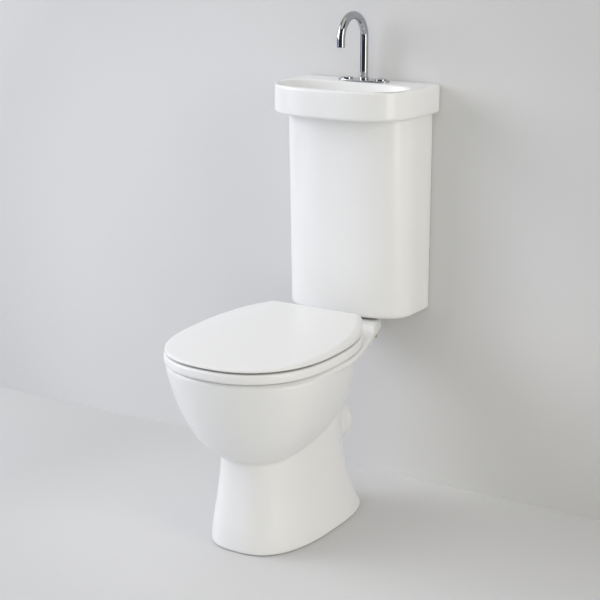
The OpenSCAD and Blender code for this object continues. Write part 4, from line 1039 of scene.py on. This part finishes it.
finishes = {
    "glazed_china": white_china,
    "seat_plastic": white_resin,
    "polished_chrome": bright_chrome,
    "steel": satin_steel,
    "brass": turned_brass,
    "pad_rubber": moulded_plastic("pale_rubber", (0.55, 0.56, 0.56), (0.62, 0.63, 0.63), 0.6),
    "black_rubber": moulded_plastic("black_rubber", (0.018, 0.018, 0.02), (0.03, 0.03, 0.032), 0.6),
    "hinge_plastic": moulded_plastic("hinge_plastic", (0.66, 0.67, 0.67), (0.72, 0.73, 0.73), 0.25),
    "valve_plastic": moulded_plastic("valve_plastic", (0.62, 0.63, 0.62), (0.70, 0.71, 0.70)),
    "stem_plastic": moulded_plastic("stem_plastic", (0.24, 0.34, 0.44), (0.30, 0.41, 0.50)),
    "float_plastic": moulded_plastic("float_plastic", (0.05, 0.14, 0.30), (0.07, 0.18, 0.36)),
    "hose_plastic": moulded_plastic("hose_plastic", (0.42, 0.43, 0.44), (0.50, 0.51, 0.52), 0.35),
    "outlet_plastic": moulded_plastic("outlet_plastic", (0.015, 0.015, 0.017), (0.03, 0.03, 0.032)),
}
print(len(finishes), "finishes")

# %% [markdown]
# The record says which kind of material each CAD node is made of. The pieces that were
# rebuilt above get theirs one by one.

# %% Giving out the finishes
slot_of = {part["node"]: part["material_slot"] for part in record["subparts"]}
dressed = [(obj, slot_of[node]) for node, obj in frame["nodes"].items()]
dressed += [(piece, "glazed_china") for piece in (pan, tank, basin)]
dressed += [(piece, "seat_plastic") for piece in (seat, lid)]
dressed += [(piece, "polished_chrome") for piece in (spout, base_plate, *caps)]
dressed += [(coil, "steel") for coil in coils]
for obj, slot in dressed:
    obj.data.materials.clear()
    obj.data.materials.append(finishes[slot])
print("dressed", len(dressed), "pieces, CAD nodes and rebuilt ones together")

# %% [markdown]
# ## Room and light
#
# The photograph was taken in a plain pale studio: a light grey wall and floor, large
# soft light from the left, and a weaker, warmer bounce from the right that leaves the
# right-hand sides a soft warm grey.
#
# Wall and floor are flat sheets of matt paint with a painted pool of light on them: their
# colour gets a little darker away from the object, as a studio's light falls off. A view
# from behind would only show the wall, so its paint is clear on that side. The cistern
# and the basin stand against the wall, and no light would reach their backs, so the wall
# is left open behind them.

# %% Wall and floor
def sheet(name, panels, colour, painted_light_pool):
    """Flat panels, each four corners, with matt paint and a painted pool of light that darkens away from
    a centre.
    """
    mesh = bpy.data.meshes.new(name)
    corners = [corner for panel in panels for corner in panel]
    mesh.from_pydata(corners, [], [tuple(range(i, i + 4)) for i in range(0, len(corners), 4)])
    obj = bpy.data.objects.new(name, mesh)
    bpy.context.scene.collection.objects.link(obj)
    paint = Finish(name + "_paint", Roughness=0.7)
    centre, reach, edge = painted_light_pool
    where = paint.node("ShaderNodeTexCoord", out="Object")
    ends = {0: where, 1: centre}
    away = paint.node("ShaderNodeVectorMath", {"operation": "DISTANCE"}, ends, out="Value")
    span = {"Value": away, "From Min": reach[0], "From Max": reach[1]}
    # painted shade: the colour darkens away from the centre, as the lamps' light falls off
    painted_light_falloff = paint.node("ShaderNodeMapRange", {"interpolation_type": "SMOOTHSTEP"}, span)
    uneven = paint.noise(3, 2) * 0.2
    paint.drive(Base_Color=paint.mix(painted_light_falloff + uneven, colour, tuple(c * edge for c in colour)))
    behind = paint.node("ShaderNodeNewGeometry", out="Backfacing")
    clear = paint.node("ShaderNodeBsdfTransparent")
    matt = Flow(paint, paint.shader.outputs[0])
    seen = paint.node("ShaderNodeMixShader", None, {0: behind, 1: matt, 2: clear})
    paint.feed(paint.tree.nodes["Material Output"].inputs["Surface"], seen)
    mesh.materials.append(paint.material)
    return obj


ROOM_X, ROOM_FRONT, ROOM_TOP = 3, -2.2, 3.2
FLOOR_Z = -0.0008
back = WALL + 0.0012


def wall_panel(x0, x1, z0, z1):
    """Four corners of a piece of wall, anticlockwise as seen from the room."""
    return [(x0, back, z0), (x1, back, z0), (x1, back, z1), (x0, back, z1)]


tank_low, tank_top, basin_top = 0.416, 0.862, 0.905
wall_panels = [wall_panel(-ROOM_X, ROOM_X, -0.001, tank_low)]
wall_panels.append(wall_panel(-ROOM_X, ROOM_X, basin_top, ROOM_TOP))
for half, z0, z1 in ((0.1475, tank_low, tank_top), (0.164, tank_top, basin_top)):
    wall_panels += [wall_panel(-ROOM_X, -half, z0, z1), wall_panel(half, ROOM_X, z0, z1)]
# each sheet's last argument is its painted pool of light: a centre, the distances over which the painted
# shade grows, and how dark its edge is painted
sheet("wall", wall_panels, (0.65, 0.65, 0.65), ((-0.2, back, 0.3), (0.6, 1.1), 0.85))
floor_plan = [(-ROOM_X, ROOM_FRONT), (ROOM_X, ROOM_FRONT), (ROOM_X, back), (-ROOM_X, back)]
floor_panel = [(x, y, FLOOR_Z) for x, y in floor_plan]
sheet("floor", [floor_panel], (0.66, 0.66, 0.66), ((0.1, -0.05, 0), (0.35, 0.9), 0.88))
print("wall at y =", round(back, 4), "in", len(wall_panels), "panels")

# %% [markdown]
# Six soft rectangles of light stand around the object. Their strengths were fitted to
# the tones of the photograph: each lamp was rendered by itself, and the mixture that
# came closest was kept. Three of them stand on the left, one hangs above, one stands
# on the right, and the last one fills the front. Chrome would mirror that last one as
# a white streak, so it is hidden from glossy rays.

# %% Lights
def window(name, centre, target, size, power_w, colour):
    """A rectangle of light that points at a target; its place and size are in metres."""
    lamp = bpy.data.lights.new(name, "AREA")
    lamp.shape, lamp.size, lamp.size_y = "RECTANGLE", size[0], size[1]
    lamp.energy, lamp.color = power_w, colour
    obj = bpy.data.objects.new(name, lamp)
    bpy.context.scene.collection.objects.link(obj)
    aim = Vector(target) - Vector(centre)
    obj.matrix_world = Matrix.Translation(centre) @ aim.to_track_quat("-Z", "Y").to_matrix().to_4x4()
    return obj


window("side_window", (-3.4, -1.0, 2.2), (0, 0, 0.6), (2.0, 2.2), 65, (1.0, 1.0, 0.97))
window("front_window", (-3.5, -3.2, 2.4), (0, 0, 0.5), (3.4, 3.0), 57, (1.0, 0.94, 0.97))
window("low_window", (-3.0, -2.0, 1.35), (0, -0.1, 0.75), (1.5, 2.7), 20, (0.66, 0.72, 1.0))
window("skylight", (0, -1.0, 3.8), (0, 0, 0.4), (3.4, 3.0), 27, (1.0, 0.95, 0.82))
window("right_window", (3.2, -0.7, 1.3), (0, 0, 0.7), (1.4, 2.6), 39, (1.0, 0.94, 0.85))
soft_fill = window("soft_fill", (2.2, -4.8, 1.4), (0, 0, 0.5), (3.0, 2.6), 44, (1.0, 0.93, 0.66))
soft_fill.visible_glossy = False
print("six lamps, the last one not mirrored")

# %% [markdown]
# The world does three jobs at once, and the kind of ray tells them apart. The camera
# sees it as plain light grey. As a light it is a little weaker and bluish, like a sky.
# In reflections it is nearly black, which gives the chrome its dark stripe.

# %% World
world = bpy.data.worlds.new("studio")
world.use_nodes = True
sky = Nodes(world.node_tree)
background = sky.tree.nodes["Background"]
direct = sky.node("ShaderNodeLightPath", out="Is Camera Ray")
sky.feed(background.inputs["Color"], sky.mix(direct, (0.74, 0.83, 1.0), (1.0, 1.0, 1.0)))
AS_LIGHT, IN_MIRRORS, TO_CAMERA = 0.377, 0.06, 0.60
level = AS_LIGHT
for rays, strength in (("Is Glossy Ray", IN_MIRRORS), ("Is Camera Ray", TO_CAMERA)):
    ray = sky.node("ShaderNodeLightPath", out=rays)
    level = sky.node("ShaderNodeMapRange", None, {"Value": ray, "To Min": level, "To Max": strength})
sky.feed(background.inputs["Strength"], level)
bpy.context.scene.world = world
bpy.context.scene.view_settings.view_transform = "Standard"
print("world", world.name, "has", len(sky.tree.nodes), "nodes")
